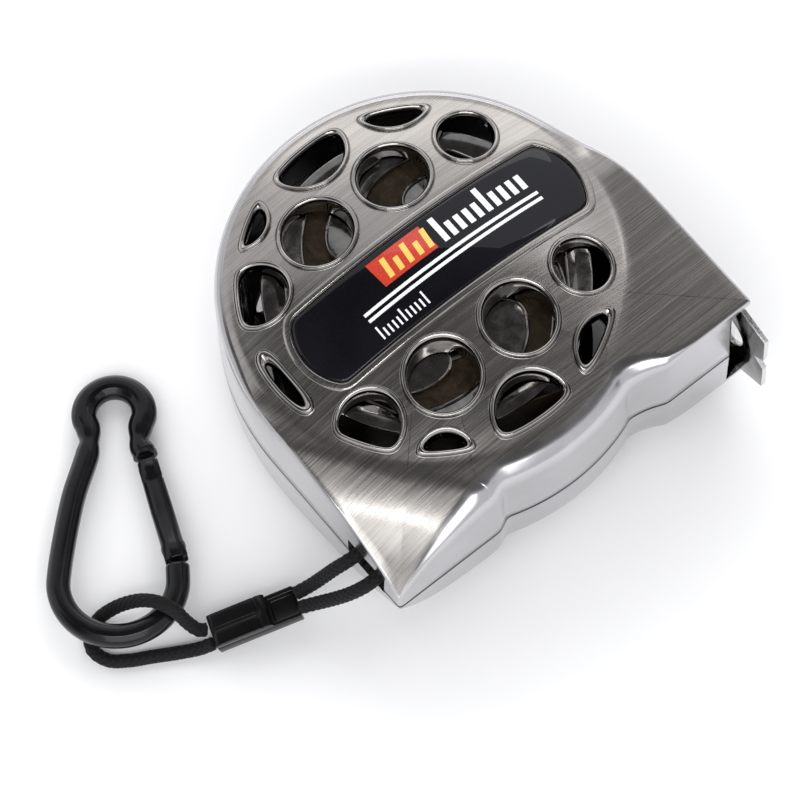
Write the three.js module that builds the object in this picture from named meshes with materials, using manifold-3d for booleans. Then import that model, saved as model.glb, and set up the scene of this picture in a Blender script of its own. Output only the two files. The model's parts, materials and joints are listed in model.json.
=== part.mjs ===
// Pocket tape measure with a pierced, domed case, a corded strap and a snap hook.
// Millimetres. The case lies on its rear face: +X runs from heel to mouth, +Y towards the round
// top, +Z out of the front face. The origin is on the reel axis, on the rear rest face.
import * as THREE from "three";
import { mergeVertices } from "three/addons/utils/BufferGeometryUtils.js";
import Module from "manifold-3d";

const wasm = await Module();
wasm.setup();

// ---------------------------------------------------------------- driving dimensions
// Blade and reel
const BLADE_WIDTH = 25;
const BLADE_THICKNESS = 0.2;
const BLADE_STRETCH = 30; // straight blade behind the hook that slides out
const COIL_RADIUS = 25; // outside of the wound blade
const HUB_RADIUS = 14.6; // outside of the drum the blade winds on
const HUB_WALL = 1.6;
const FLANGE_RIM = 2.8; // flange past the coil
const FLANGE_THICKNESS = 0.7;
const FLANGE_GAP = 0.25; // blade edge to flange
const FLANGE_WINDOWS = 6;
const WINDOW_START = 4.2; // window's inner end, inside the drum's outside
const WINDOW_RIM = 3.4; // flange left outside the windows
const POST_RADIUS = 3.4;
const SPRING_TURNS = 5;
const SPRING_STRIP = 0.45;
const SPRING_MARGIN = 1; // drum's edge to the spring's edge
// Case
const SIDE_WALL = 1.8;
const FACE_WALL = 1.2;
const CROWN_EXTRA = 0.6; // added wall at the middle of the dome
const PLATEAU_RING = 5.8; // flange edge to the edge of the domed plateau
const SHOULDER_RING = 2.4; // plateau edge to the outside of the round top
const FRONT_STEP = 3.5; // front wall past the round top's radius
const BACK_STEP = 0.9; // back wall past it
const BASE_STEP = 1.9; // base past it
const BELLY_STEP = 2.8; // bulge of the base under the coil, past it
const BELLY_FROM = -109.2; // degrees round the reel axis, where the bulge starts and ends
const BELLY_TO = -70;
const WAIST_LENGTH = 6.6; // hollow between the bulge and the nose
const WAIST_DEPTH = 1.6;
const TOP_FROM = 30; // degrees, where the round top starts and ends
const TOP_TO = 148;
const DOME_RISE = 6.3; // shoulder to the top of the front dome
const REST_RISE = 4.3; // shoulder to the flat rest face of the rear
const ROUND_DROP = 1.2; // fall of the shoulder round the top
const DRAFT = 0.35;
const PARTING = -2; // height of the joint between the covers, from the mid-plane
const SEAM = 0.3;
// Heel facet: a slope that thins the case to an edge at the heel corner
const FACET_BACK_Y = -8; // where it starts on the back wall
const FACET_BASE_X = -14.6; // where it starts on the base
const FACET_EDGE = 0.6; // material left above the joint at the corner
const FACET_LINEAR = 0.46; // share of the fall that is straight; the rest rolls over
const HEEL_STEP = 0.6; // flat of the base past the facet's start, before the bulge
// Face holes (outer edge of the bead round each)
const BEAD = 1.5;
const HOLE_LARGE = 7.4;
const HOLE_SMALL = 6.05;
const HOLE_SIDES = 16;
const HOLE_EDGE_GAP = 1.0; // plateau edge to the outermost holes
const HOLE_BADGE_GAP = 0.5; // badge border to the holes beside it
const END_HOLE_HALF = 7.5; // upright hole at the badge's heel end
const END_HOLE_X = -28.2;
// Badge
const BADGE_HALF = 7.4;
const BADGE_LEFT = -25.8;
const BADGE_RIGHT = 31.6;
const BADGE_END_RADIUS = 11;
const BADGE_BORDER = 1.4;
const BORDER_RISE = 0.4;
const BADGE_SEAT = 0.6;
const BADGE_PROUD = 0.3; // top of the badge over the face
// Mouth, hook
const MOUTH_DEPTH = 5; // bottom wall stops this far behind the front
const MOUTH_HEIGHT = 6.3; // front wall stops this far above the base
const BLADE_ABOVE_BASE = 4.8;
const HOOK_THICKNESS = 0.9;
const HOOK_SETBACK = 1.4; // outer face of the hook behind the front wall
const HOOK_DROP = 5.5; // hook past the base
const HOOK_END_HALF = 9.1;
const HOOK_TONGUE = 8;
const TONGUE_THICKNESS = 0.8;
const TONGUE_HALF = 9;
const TONGUE_GAP = 0.25; // under the blade
const HOOK_PLAY = 0.5; // true-zero play each way
const NAIL_RADIUS = 4.7;
const NAIL_DROP = 0.9; // tongue to the straight edge of the nail hole
const NOTCH_HALF = 1.85;
const NOTCH_DEPTH = 2.3;
const RIVET_RADIUS = 0.8;
const RIVET_SPREAD = 4;
const RIVET_SETBACK = 4.2; // behind the end of the blade
const RIVET_HEAD = 0.6; // head past the shank, and its height
const RIVET_TAIL = 0.9;
const GUIDE_LENGTH = 4.9;
// Case screws
const SCREW_RADIUS = 1.1;
const SCREW_HEAD = 2.0;
const SCREW_HEAD_DEPTH = 1.3;
const SCREW_SEAT = 0.6; // top of each head, inside the shoulder
const SCREW_TIP = 4.5; // tip of each screw, inside the other shoulder
const BOSS_WALL = 1.0; // round the screw heads
const BOSS_TO_WALL = 2.6; // screw axis to the inside of the wall
// Strap
const PIN_RADIUS = 1.1;
const PIN_SETBACK = 3.6; // pin axis inside the back wall's outer face
const PIN_Y = -29;
const PIN_GAP = 0.35; // pin to the cord round it
const SLOT_HALF_WIDTH = 4.75;
const SLOT_HALF_HEIGHT = 3;
const SLOT_Z = -0.6;
const CORD_DIAMETER = 2.4;
const CLIP_WIDTH = 5.8;
const CLIP_HEIGHT = 4.0;
const CLIP_LID = 10.4;
const CLIP_WALL = 0.9;
const CLIP_GROOVE = 0.35; // depth of the groove along the lid
// Snap hook (carabiner)
const BAR_RADIUS = 2.2;
const RING_RADIUS = 5.2; // centreline of the small end
const BOW_RADIUS = 10.2; // centreline of the wide end
const EYE_SPACING = 31.4; // between the centres of the two ends
const GATE_START = 9.6; // along the axis from the small end's centre
const GATE_END = 28.4;
const GATE_PIN_RADIUS = 0.7;
const GATE_PIN_AT = 1.6; // along the gate, from its hinge end
const TANG_HALF = 0.8; // half-height of the frame's tang in the gate's fork
const TANG_REACH = 3.3; // along the gate, past its hinge end
const CATCH_HALF = 0.6; // half-height of the tongue that the gate's tip closes on
const CATCH_REACH = 1.9;
const BORE_START = 3.8; // along the gate
const BORE_END = 14;
const PLUNGER_RADIUS = 1.0;
const PLUNGER_LENGTH = 1.5;
const COIL_TURNS = 6;
const WIRE_HALF = 0.18;
// Clearances
const CLEAR = 0.3;
const RUNNING = 0.15;

// ---------------------------------------------------------------- sizes that follow
const bladeHalf = BLADE_WIDTH / 2;
const flangeRadius = COIL_RADIUS + FLANGE_RIM;
const flangeInner = bladeHalf + FLANGE_GAP;
const plateau = flangeRadius + PLATEAU_RING;
const caseRadius = plateau + SHOULDER_RING;
const frontX = caseRadius + FRONT_STEP;
const backX = -(caseRadius + BACK_STEP);
const baseY = -(caseRadius + BASE_STEP);
const bellyRadius = caseRadius + BELLY_STEP;
const mouthHalf = bladeHalf + CLEAR;
const shoulder = mouthHalf + FACE_WALL;
const restDepth = shoulder + REST_RISE;
const restEdge = Math.sqrt(1 - REST_RISE / DOME_RISE); // edge of the rest face over the plateau's
const aboveFace = shoulder + DOME_RISE + 3; // clear over the dome, for cuts
const holeClip = plateau - HOLE_EDGE_GAP;
const mouthX = frontX - MOUTH_DEPTH;
const mouthTop = baseY + MOUTH_HEIGHT;
const bladeY = baseY + BLADE_ABOVE_BASE;
const hookX = frontX - HOOK_SETBACK - HOOK_THICKNESS; // inner face of the hook plate
const FRONT = 1;
const REAR = -1;

// ---------------------------------------------------------------- helpers
const group = new THREE.Group();
group.position.z = restDepth; // the pieces below are drawn about the case's mid-plane

function finish(color, roughness, metalness) {
  return new THREE.MeshStandardMaterial({ color, roughness, metalness });
}
const plated = finish(0x8d8883, 0.28, 1);
const darkPlated = finish(0x4a4846, 0.2, 1);
const blackGloss = finish(0x08080a, 0.08, 0);
const blackPaint = finish(0x0b0b0d, 0.3, 0.2);
const blackPlastic = finish(0x111113, 0.4, 0);
const blackCord = finish(0x0c0c0d, 0.9, 0);
const steel = finish(0xb8b8b6, 0.3, 1);
const bladeCoat = finish(0x8a6a3a, 0.45, 0.1);

function solid(geometry) {
  const g = geometry.clone();
  g.deleteAttribute("normal");
  g.deleteAttribute("uv");
  const merged = mergeVertices(g, 1e-4);
  return new wasm.Manifold(
    new wasm.Mesh({
      numProp: 3,
      vertProperties: new Float32Array(merged.attributes.position.array),
      triVerts: new Uint32Array(merged.index.array),
    }),
  );
}

function geometryOf(manifold) {
  const mesh = manifold.getMesh();
  const g = new THREE.BufferGeometry();
  g.setAttribute("position", new THREE.BufferAttribute(mesh.vertProperties, 3));
  g.setIndex(new THREE.BufferAttribute(mesh.triVerts, 1));
  return g;
}

function add(name, shape, material, parent = group) {
  const geometry = shape.isBufferGeometry ? shape : geometryOf(shape);
  const mesh = new THREE.Mesh(geometry, material);
  mesh.name = name;
  parent.add(mesh);
  return mesh;
}

// Prism of a flat outline, between two heights along Z.
function prism(points, low, high) {
  const shape = new THREE.Shape(points.map(([x, y]) => new THREE.Vector2(x, y)));
  const g = new THREE.ExtrudeGeometry(shape, { depth: high - low, bevelEnabled: false, steps: 1 });
  return g.translate(0, 0, low);
}

function box(x0, x1, y0, y1, z0, z1) {
  const g = new THREE.BoxGeometry(x1 - x0, y1 - y0, z1 - z0);
  return g.translate((x0 + x1) / 2, (y0 + y1) / 2, (z0 + z1) / 2);
}

// Turned solid or ring about Z. Profile points are [radius, height], anticlockwise.
function turned(profile, sides) {
  const points = profile.map(([r, z]) => new THREE.Vector2(r, z));
  return new THREE.LatheGeometry(points, sides).rotateX(Math.PI / 2);
}

function ring(inner, outer, low, high, sides) {
  return turned([[inner, low], [outer, low], [outer, high], [inner, high], [inner, low]], sides);
}

function disc(radius, low, high, sides) {
  return turned([[0, low], [radius, low], [radius, high], [0, high]], sides);
}

function smooth(from, to, value) {
  const t = Math.min(1, Math.max(0, (value - from) / (to - from)));
  return t * t * (3 - 2 * t);
}

// ---------------------------------------------------------------- case outline
// Anticlockwise, starting at the heel corner: base, belly, waist, nose, front, round top, back.
function caseOutline() {
  const points = [];
  const put = (x, y) => points.push([x, y]);
  const arc = (radius, from, to, count) => {
    for (let i = 0; i <= count; i++) {
      const a = THREE.MathUtils.degToRad(from + ((to - from) * i) / count);
      put(radius * Math.cos(a), radius * Math.sin(a));
    }
  };
  for (const t of [0, 0.35, 0.7, 1]) {
    put(backX + t * (FACET_BASE_X - HEEL_STEP - backX), baseY);
  }
  arc(bellyRadius, BELLY_FROM, BELLY_TO, 10);
  const [bellyX, bellyY] = points.at(-1);
  const waistX = bellyX + 1;
  const waist = new THREE.CubicBezierCurve(
    new THREE.Vector2(waistX, bellyY + 0.5),
    new THREE.Vector2(waistX + WAIST_LENGTH * 0.25, baseY + WAIST_DEPTH),
    new THREE.Vector2(waistX + WAIST_LENGTH * 0.5, baseY + WAIST_DEPTH),
    new THREE.Vector2(waistX + WAIST_LENGTH, baseY),
  );
  waist.getPoints(5).forEach((p) => put(p.x, p.y));
  put((waistX + WAIST_LENGTH + mouthX) / 2, baseY);
  put(mouthX, baseY);
  put(frontX, baseY);
  for (const y of [0.8, 0.55, 0.35]) {
    put(frontX, baseY * y);
  }
  const brow = new THREE.CubicBezierCurve(
    new THREE.Vector2(frontX - 0.1, baseY * 0.22),
    new THREE.Vector2(frontX - 0.7, baseY * 0.05),
    new THREE.Vector2(caseRadius * 1.02, caseRadius * 0.12),
    new THREE.Vector2(caseRadius * Math.cos(0.42), caseRadius * Math.sin(0.42)),
  );
  brow.getPoints(5).forEach((p) => put(p.x, p.y));
  arc(caseRadius, TOP_FROM, TOP_TO, 22);
  const nape = new THREE.CubicBezierCurve(
    new THREE.Vector2(caseRadius * Math.cos(2.66), caseRadius * Math.sin(2.66)),
    new THREE.Vector2(-caseRadius * 0.97, caseRadius * 0.3),
    new THREE.Vector2(backX, caseRadius * 0.12),
    new THREE.Vector2(backX, -0.12 * caseRadius),
  );
  nape.getPoints(5).forEach((p) => put(p.x, p.y));
  for (const t of [0.25, 0.5, 0.75]) {
    put(backX, -0.12 * caseRadius + t * (baseY + 0.12 * caseRadius));
  }
  return points;
}
const outline = caseOutline();

// Height of a cover's face over the mid-plane. The rear dome is cut flat at the rest face.
function faceHeight(x, y, side) {
  const r = Math.hypot(x, y);
  const crown = Math.max(0, 1 - (r / plateau) ** 2);
  let height = shoulder + DOME_RISE * crown;
  if (side === REAR) {
    height = Math.min(height, restDepth);
  }
  if (r > plateau) {
    height -= ROUND_DROP * smooth(-5, 6, y) * Math.min(1, (r - plateau) / SHOULDER_RING);
  }
  // distance past the line where the heel facet starts
  const along = new THREE.Vector2(backX - FACET_BASE_X, FACET_BACK_Y - baseY).normalize();
  const past = (px, py) => -along.y * (px - FACET_BASE_X) + along.x * (py - baseY);
  const t = past(x, y) / past(backX, baseY);
  if (t > 0) {
    const total = shoulder - PARTING * side - FACET_EDGE;
    height -= total * (FACET_LINEAR * t + (1 - FACET_LINEAR) * t ** 4);
  }
  return height;
}

// Wall thickness normal to the outline, measured along the line to the middle.
function insetRadially(points, depth) {
  return points.map(([x, y], i) => {
    const [x0, y0] = points[(i + points.length - 1) % points.length];
    const [x1, y1] = points[(i + 1) % points.length];
    const r = Math.hypot(x, y);
    const length = Math.hypot(x1 - x0, y1 - y0);
    const facing = (x * (y1 - y0) - y * (x1 - x0)) / (r * length);
    const k = 1 - depth / (Math.max(0.7, facing) * r);
    return [x * k, y * k];
  });
}

// Rings of points on a face, as shares of the plateau's radius
const FRONT_RINGS = [0.4, 0.66, 0.85, 1];
const REAR_RINGS = [restEdge, 0.72, 0.87, 1];
const INNER_RINGS = [0.5, 0.8, 1];

// Solid between a flat bottom at `low` and a face, over a star-shaped outline.
function facedSolid(bottom, top, low, heightAt, levels = FRONT_RINGS) {
  const rings = levels.map((k) =>
    top.map(([x, y]) => {
      const r = Math.hypot(x, y);
      const reach = Math.min(1, (plateau * k) / r);
      return [x * reach, y * reach];
    }),
  );
  const outward = (k) =>
    top.map(([x, y]) => {
      const share = Math.min(1, plateau / Math.hypot(x, y));
      const reach = share + (1 - share) * k;
      return [x * reach, y * reach];
    });
  rings.push(outward(0.45), outward(1));
  const position = [0, 0, heightAt(0, 0)];
  rings.forEach((points) => points.forEach(([x, y]) => position.push(x, y, heightAt(x, y))));
  bottom.forEach(([x, y]) => position.push(x, y, low));
  position.push(0, 0, low);
  const n = top.length;
  const at = (level, i) => 1 + level * n + (i % n);
  const index = [];
  for (let i = 0; i < n; i++) {
    index.push(0, at(0, i), at(0, i + 1));
    for (let level = 0; level < rings.length; level++) {
      index.push(at(level, i), at(level + 1, i), at(level + 1, i + 1));
      index.push(at(level, i), at(level + 1, i + 1), at(level, i + 1));
    }
    index.push(at(rings.length, i), position.length / 3 - 1, at(rings.length, i + 1));
  }
  const g = new THREE.BufferGeometry();
  g.setAttribute("position", new THREE.Float32BufferAttribute(position, 3));
  g.setIndex(index);
  return solid(g);
}

// ---------------------------------------------------------------- face holes
// A hole is a circle cut off by the clip circle; the bead's width is taken off all round.
function holeOutline({ x, y, r, left }, inset, sides) {
  const clip = holeClip - inset;
  const limits = [];
  if (left === undefined) {
    limits.push((px, py, dx, dy) => {
      const b = (px - x) * dx + (py - y) * dy;
      return -b + Math.sqrt(b * b + (r - inset) ** 2 - (px - x) ** 2 - (py - y) ** 2);
    });
  } else {
    limits.push((px, py, dx) => (dx > 1e-6 ? (left - inset - px) / dx : Infinity));
    limits.push((px, py, dx, dy) => (Math.abs(dy) > 1e-6 ? (r - inset) / Math.abs(dy) : Infinity));
  }
  limits.push((px, py, dx, dy) => {
    const b = px * dx + py * dy;
    return -b + Math.sqrt(b * b + clip * clip - px * px - py * py);
  });
  const middle = left === undefined ? Math.hypot(x, y) : 0;
  const reach = Math.min(middle, (middle - r + holeClip) / 2);
  const px = left === undefined ? (x * reach) / middle : (left - holeClip) / 2;
  const py = left === undefined ? (y * reach) / middle : 0;
  const points = [];
  for (let i = 0; i < sides; i++) {
    const a = (2 * Math.PI * i) / sides;
    const d = Math.min(...limits.map((limit) => limit(px, py, Math.cos(a), Math.sin(a))));
    points.push([px + d * Math.cos(a), py + d * Math.sin(a)]);
  }
  return points;
}

function faceHoles() {
  const bandEdge = BADGE_HALF + BADGE_BORDER + HOLE_BADGE_GAP;
  const polar = (degrees, distance, r) => {
    const a = THREE.MathUtils.degToRad(degrees);
    return { x: distance * Math.cos(a), y: distance * Math.sin(a), r };
  };
  const upper = [
    { x: -9.8, y: bandEdge + HOLE_LARGE, r: HOLE_LARGE },
    { x: 6.3, y: bandEdge + HOLE_LARGE, r: HOLE_LARGE },
    { x: 20.9, y: bandEdge + HOLE_SMALL, r: HOLE_SMALL },
    polar(148, holeClip - 4.2, 6.6),
    polar(123, holeClip + 0.6, 5.9),
    polar(93, holeClip - 2.1, 7.9),
    polar(61.5, holeClip + 2.3, 8.3),
  ];
  const lower = upper.map((hole) => ({ ...hole, y: -hole.y }));
  return [...upper, ...lower, { r: END_HOLE_HALF, left: END_HOLE_X }];
}

// ---------------------------------------------------------------- covers and badge
function badgeOutline(outset) {
  const half = BADGE_HALF + outset;
  const radius = BADGE_END_RADIUS + outset;
  const swing = Math.asin(half / radius);
  const points = [];
  for (const [centre, turn] of [
    [BADGE_RIGHT - BADGE_END_RADIUS, 0],
    [BADGE_LEFT + BADGE_END_RADIUS, Math.PI],
  ]) {
    for (let i = 0; i <= 8; i++) {
      const a = turn - swing + (2 * swing * i) / 8;
      points.push([centre + radius * Math.cos(a), radius * Math.sin(a)]);
    }
  }
  return points;
}

const screwRing = caseRadius - SIDE_WALL - BOSS_TO_WALL;
const screwPlaces = [77.5, 135].map((degrees) => {
  const a = THREE.MathUtils.degToRad(degrees);
  return [screwRing * Math.cos(a), screwRing * Math.sin(a)];
});
screwPlaces.push(
  [frontX - SIDE_WALL - BOSS_TO_WALL - 0.9, baseY * 0.32],
  [FACET_BASE_X - 4.2, baseY + SIDE_WALL + BOSS_TO_WALL + 0.3],
);
const screwSeat = shoulder - SCREW_SEAT; // outer end of each screw head, from the mid-plane
const bossRadius = SCREW_HEAD + BOSS_WALL;

function cover(side) {
  const low = PARTING * side + SEAM / 2;
  const top = insetRadially(outline, DRAFT);
  const height = (x, y) => faceHeight(x, y, side);
  const inner = insetRadially(outline, SIDE_WALL);
  const innerTop = insetRadially(outline, SIDE_WALL + DRAFT);
  const innerHeight = (x, y) => {
    const crown = Math.max(0, 1 - (Math.hypot(x, y) / plateau) ** 2);
    return Math.max(low - 0.4, height(x, y) - FACE_WALL - CROWN_EXTRA * crown);
  };
  const rings = side === FRONT ? FRONT_RINGS : REAR_RINGS;
  const outer = facedSolid(outline, top, low, height, rings);
  let bosses = null;
  for (const [x, y] of screwPlaces) {
    const boss = solid(disc(bossRadius, low, aboveFace, 16).translate(x, y, 0));
    bosses = bosses ? bosses.add(boss) : boss;
  }
  let shell = outer.subtract(facedSolid(inner, innerTop, low - 1, innerHeight, INNER_RINGS));
  shell = shell.add(bosses.intersect(outer));
  if (side === FRONT) {
    const raised = facedSolid(outline, top, low, (x, y) => height(x, y) + BORDER_RISE);
    const band = solid(prism(badgeOutline(BADGE_BORDER), shoulder - 1, aboveFace));
    const rim = raised.intersect(band).subtract(facedSolid(outline, top, low, (x, y) => height(x, y) - 1));
    const seat = solid(prism(badgeOutline(0), shoulder - 1, aboveFace)).subtract(
      facedSolid(outline, top, low, (x, y) => height(x, y) - BADGE_SEAT),
    );
    shell = shell.add(rim).subtract(seat);
  }
  for (const hole of faceHoles()) {
    const bore = prism(holeOutline(hole, BEAD, HOLE_SIDES), mouthHalf - CLEAR, aboveFace);
    shell = shell.subtract(solid(bore));
  }
  for (const [x, y] of screwPlaces) {
    if (side === FRONT) {
      const pilot = disc(SCREW_RADIUS + RUNNING, low - 1, shoulder - SCREW_TIP + 1.5, 12);
      shell = shell.subtract(solid(pilot.translate(x, y, 0)));
    } else {
      const shank = disc(SCREW_RADIUS + CLEAR, low - 1, screwSeat, 12);
      const head = disc(SCREW_HEAD + CLEAR, screwSeat - SCREW_HEAD_DEPTH - CLEAR, aboveFace, 16);
      shell = shell.subtract(solid(shank.translate(x, y, 0)));
      shell = shell.subtract(solid(head.translate(x, y, 0)));
    }
  }
  const mouth = box(mouthX, frontX + 5, baseY - 5, mouthTop, -mouthHalf, mouthHalf);
  const slotZ = SLOT_Z * side;
  const slot = box(
    backX - 5, backX + SIDE_WALL + 2 * DRAFT + 0.5, PIN_Y - SLOT_HALF_WIDTH, PIN_Y + SLOT_HALF_WIDTH,
    slotZ - SLOT_HALF_HEIGHT, slotZ + SLOT_HALF_HEIGHT,
  );
  shell = shell.subtract(solid(mouth)).subtract(solid(slot));
  // turning a mirrored half over keeps its faces outward
  const g = geometryOf(shell);
  if (side === REAR) {
    g.scale(1, 1, -1);
    g.setIndex([...g.index.array].reverse());
  }
  return g;
}

add("front_cover", cover(FRONT), plated);
add("rear_cover", cover(REAR), plated);

function badge() {
  const raise = (rise) =>
    facedSolid(outline, insetRadially(outline, DRAFT), 0, (x, y) => faceHeight(x, y, FRONT) + rise);
  const body = solid(prism(badgeOutline(-RUNNING), shoulder - 2, aboveFace));
  return body.intersect(raise(BADGE_PROUD)).subtract(raise(CLEAR - BADGE_SEAT));
}
add("front_badge", badge(), blackGloss);

screwPlaces.forEach(([x, y], i) => {
  const neck = screwSeat - SCREW_HEAD_DEPTH;
  const tip = -(shoulder - SCREW_TIP);
  const profile = [
    [0, tip], [SCREW_RADIUS, tip + 1], [SCREW_RADIUS, neck], [SCREW_HEAD, neck],
    [SCREW_HEAD, screwSeat - 0.3], [SCREW_HEAD - 0.5, screwSeat], [0.9, screwSeat],
    [0, screwSeat - 0.6],
  ];
  const g = turned(profile, 12).rotateX(Math.PI);
  add("case_screw_" + (i + 1), g.translate(x, y, 0), steel);
});

// ---------------------------------------------------------------- reel
const postTop = shoulder + DOME_RISE - FACE_WALL - CROWN_EXTRA - BADGE_SEAT - CLEAR;
const postBottom = -(restDepth - FACE_WALL - CROWN_EXTRA - CLEAR);
add("centre_post", disc(POST_RADIUS, postBottom, postTop, 20), blackPlastic);

// Swept windows between the flange's curved spokes.
function flangeWindow(turn) {
  const inner = HUB_RADIUS - WINDOW_START;
  const outer = flangeRadius - WINDOW_RIM;
  const edge = (share, lead) => {
    const r = inner + (outer - inner) * share;
    const a = turn + 0.5 * Math.sin(Math.PI * share) - 0.9 * share + lead;
    return [r * Math.cos(a), r * Math.sin(a)];
  };
  const points = [];
  const count = 5;
  for (let i = 0; i <= count; i++) {
    points.push(edge(i / count, 0));
  }
  for (let i = count; i >= 0; i--) {
    points.push(edge(i / count, 0.3 + 0.3 * (i / count)));
  }
  return points;
}

function flange(side) {
  const inner = side * flangeInner;
  const outer = side * (flangeInner + FLANGE_THICKNESS);
  const low = Math.min(inner, outer);
  const high = Math.max(inner, outer);
  let plate = solid(ring(POST_RADIUS + RUNNING, flangeRadius, low, high, 32));
  for (let i = 0; i < FLANGE_WINDOWS; i++) {
    const window = prism(flangeWindow((2 * Math.PI * i) / FLANGE_WINDOWS), low - 1, high + 1);
    plate = plate.subtract(solid(window));
  }
  return plate;
}
add("reel_flange_front", flange(FRONT), darkPlated);
add("reel_flange_rear", flange(REAR), darkPlated);

const hubHalf = flangeInner - CLEAR;
add("reel_hub", ring(HUB_RADIUS - HUB_WALL, HUB_RADIUS, -hubHalf, hubHalf, 28), blackPlastic);
add("tape_coil", ring(HUB_RADIUS + CLEAR, COIL_RADIUS, -bladeHalf, bladeHalf, 40), bladeCoat);

function spiralStrip(inner, outer, turns, thickness) {
  const steps = turns * 14;
  const side = (offset) => {
    const points = [];
    for (let i = 0; i <= steps; i++) {
      const a = (2 * Math.PI * turns * i) / steps;
      const r = inner + ((outer - inner) * i) / steps + offset;
      points.push([r * Math.cos(a), r * Math.sin(a)]);
    }
    return points;
  };
  return [...side(thickness / 2), ...side(-thickness / 2).reverse()];
}
const springInner = POST_RADIUS + CLEAR + SPRING_STRIP;
const springOuter = HUB_RADIUS - HUB_WALL - CLEAR - SPRING_STRIP;
const springHalf = hubHalf - SPRING_MARGIN;
add(
  "main_spring",
  prism(spiralStrip(springInner, springOuter, SPRING_TURNS, SPRING_STRIP), -springHalf, springHalf),
  steel,
);

// ---------------------------------------------------------------- blade, hook
const bladeEnd = hookX - CLEAR;
const rivetX = bladeEnd - RIVET_SETBACK;
const tongueTop = bladeY - BLADE_THICKNESS / 2 - TONGUE_GAP;
const tongueBottom = tongueTop - TONGUE_THICKNESS;

// Cylinder across the blade, along Y.
function upright(radius, x, z, low, high, sides) {
  return disc(radius, low, high, sides).rotateX(-Math.PI / 2).translate(x, 0, z);
}

function blade() {
  const strip = box(
    bladeEnd - BLADE_STRETCH, bladeEnd,
    bladeY - BLADE_THICKNESS / 2, bladeY + BLADE_THICKNESS / 2, -bladeHalf, bladeHalf,
  );
  let body = solid(strip);
  for (const z of [-RIVET_SPREAD, RIVET_SPREAD]) {
    body = body.subtract(solid(upright(RIVET_RADIUS + RUNNING, rivetX, z, bladeY - 3, bladeY + 3, 12)));
  }
  return body;
}
add("blade", blade(), bladeCoat);

// Stretch of blade from the coil to the mouth, lying just over the sliding stretch.
function bladeLead() {
  const start = COIL_RADIUS + CLEAR + BLADE_THICKNESS;
  const leave = THREE.MathUtils.degToRad(-115);
  const endY = bladeY + BLADE_THICKNESS + CLEAR;
  const from = new THREE.Vector2(start * Math.cos(leave), start * Math.sin(leave));
  const curve = new THREE.CubicBezierCurve(
    from,
    new THREE.Vector2(from.x - 14 * Math.sin(leave), from.y + 14 * Math.cos(leave)),
    new THREE.Vector2(rivetX - 20, endY),
    new THREE.Vector2(rivetX - 3, endY),
  );
  const middle = curve.getPoints(14);
  const side = (offset) =>
    middle.map((p, i) => {
      const t = curve.getTangent(i / 14);
      return [p.x - t.y * offset, p.y + t.x * offset];
    });
  const half = BLADE_THICKNESS / 2;
  return prism([...side(-half), ...side(half).reverse()], -bladeHalf, bladeHalf);
}
add("blade_lead", bladeLead(), bladeCoat);

// Low-friction pad under the blade behind the mouth.
const guideEnd = hookX - HOOK_TONGUE - HOOK_PLAY - 2 * CLEAR;
add(
  "blade_guide",
  box(
    guideEnd - GUIDE_LENGTH, guideEnd, baseY + SIDE_WALL + 2 * CLEAR, tongueTop - 0.2,
    1 - mouthHalf, mouthHalf - 1,
  ),
  blackPlastic,
);

for (const [name, z] of [["hook_rivet_1", -RIVET_SPREAD], ["hook_rivet_2", RIVET_SPREAD]]) {
  const headLow = bladeY + BLADE_THICKNESS / 2 + 0.1;
  const tailHigh = tongueBottom - 0.2;
  const shank = solid(upright(RIVET_RADIUS, rivetX, z, tailHigh - 0.2, headLow + 0.3, 12));
  const head = solid(upright(RIVET_RADIUS + RIVET_HEAD, rivetX, z, headLow, headLow + 0.5, 12));
  const tail = solid(upright(RIVET_RADIUS + RIVET_TAIL, rivetX, z, tailHigh - 0.5, tailHigh, 12));
  add(name, shank.add(head).add(tail), steel);
}

function hook() {
  const endY = baseY - HOOK_DROP;
  const plate = [
    [endY, -HOOK_END_HALF], [endY, -NOTCH_HALF], [endY + NOTCH_DEPTH, 0], [endY, NOTCH_HALF],
    [endY, HOOK_END_HALF], [tongueBottom, bladeHalf - 0.2], [tongueTop, bladeHalf - 0.2],
    [tongueTop, -bladeHalf + 0.2], [tongueBottom, -bladeHalf + 0.2],
  ];
  // an outline in Y and Z, pushed along X
  const lip = prism(plate, 0, HOOK_THICKNESS).applyMatrix4(
    new THREE.Matrix4().set(0, 0, 1, hookX, 1, 0, 0, 0, 0, 1, 0, 0, 0, 0, 0, 1),
  );
  let body = solid(lip);
  const tongue = box(
    hookX - HOOK_TONGUE, hookX + 0.2, tongueBottom, tongueTop, -TONGUE_HALF, TONGUE_HALF,
  );
  body = body.add(solid(tongue));
  const nail = disc(NAIL_RADIUS, -5, 5, 20).rotateY(Math.PI / 2).translate(hookX, tongueTop, 0);
  const below = box(hookX - 9, hookX + 9, endY, tongueBottom - NAIL_DROP, -TONGUE_HALF, TONGUE_HALF);
  body = body.subtract(solid(nail).intersect(solid(below)));
  for (const z of [-RIVET_SPREAD, RIVET_SPREAD]) {
    const half = RIVET_RADIUS + RUNNING;
    const slot = box(
      rivetX - half - HOOK_PLAY, rivetX + half + HOOK_PLAY,
      tongueBottom - 1, tongueTop + 1, z - half, z + half,
    );
    body = body.subtract(solid(slot));
  }
  return body;
}
add("end_hook", hook(), steel);

// ---------------------------------------------------------------- strap
const pinX = backX + PIN_SETBACK;
const pinReach = (side) =>
  faceHeight(pinX - 2 * PIN_RADIUS, PIN_Y - 2 * PIN_RADIUS, side) - FACE_WALL - 2 * CLEAR;
const pinTop = pinReach(FRONT);
const pinBottom = -pinReach(REAR);
add("strap_pin", disc(PIN_RADIUS, pinBottom, pinTop, 12).translate(pinX, PIN_Y, 0), steel);

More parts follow.
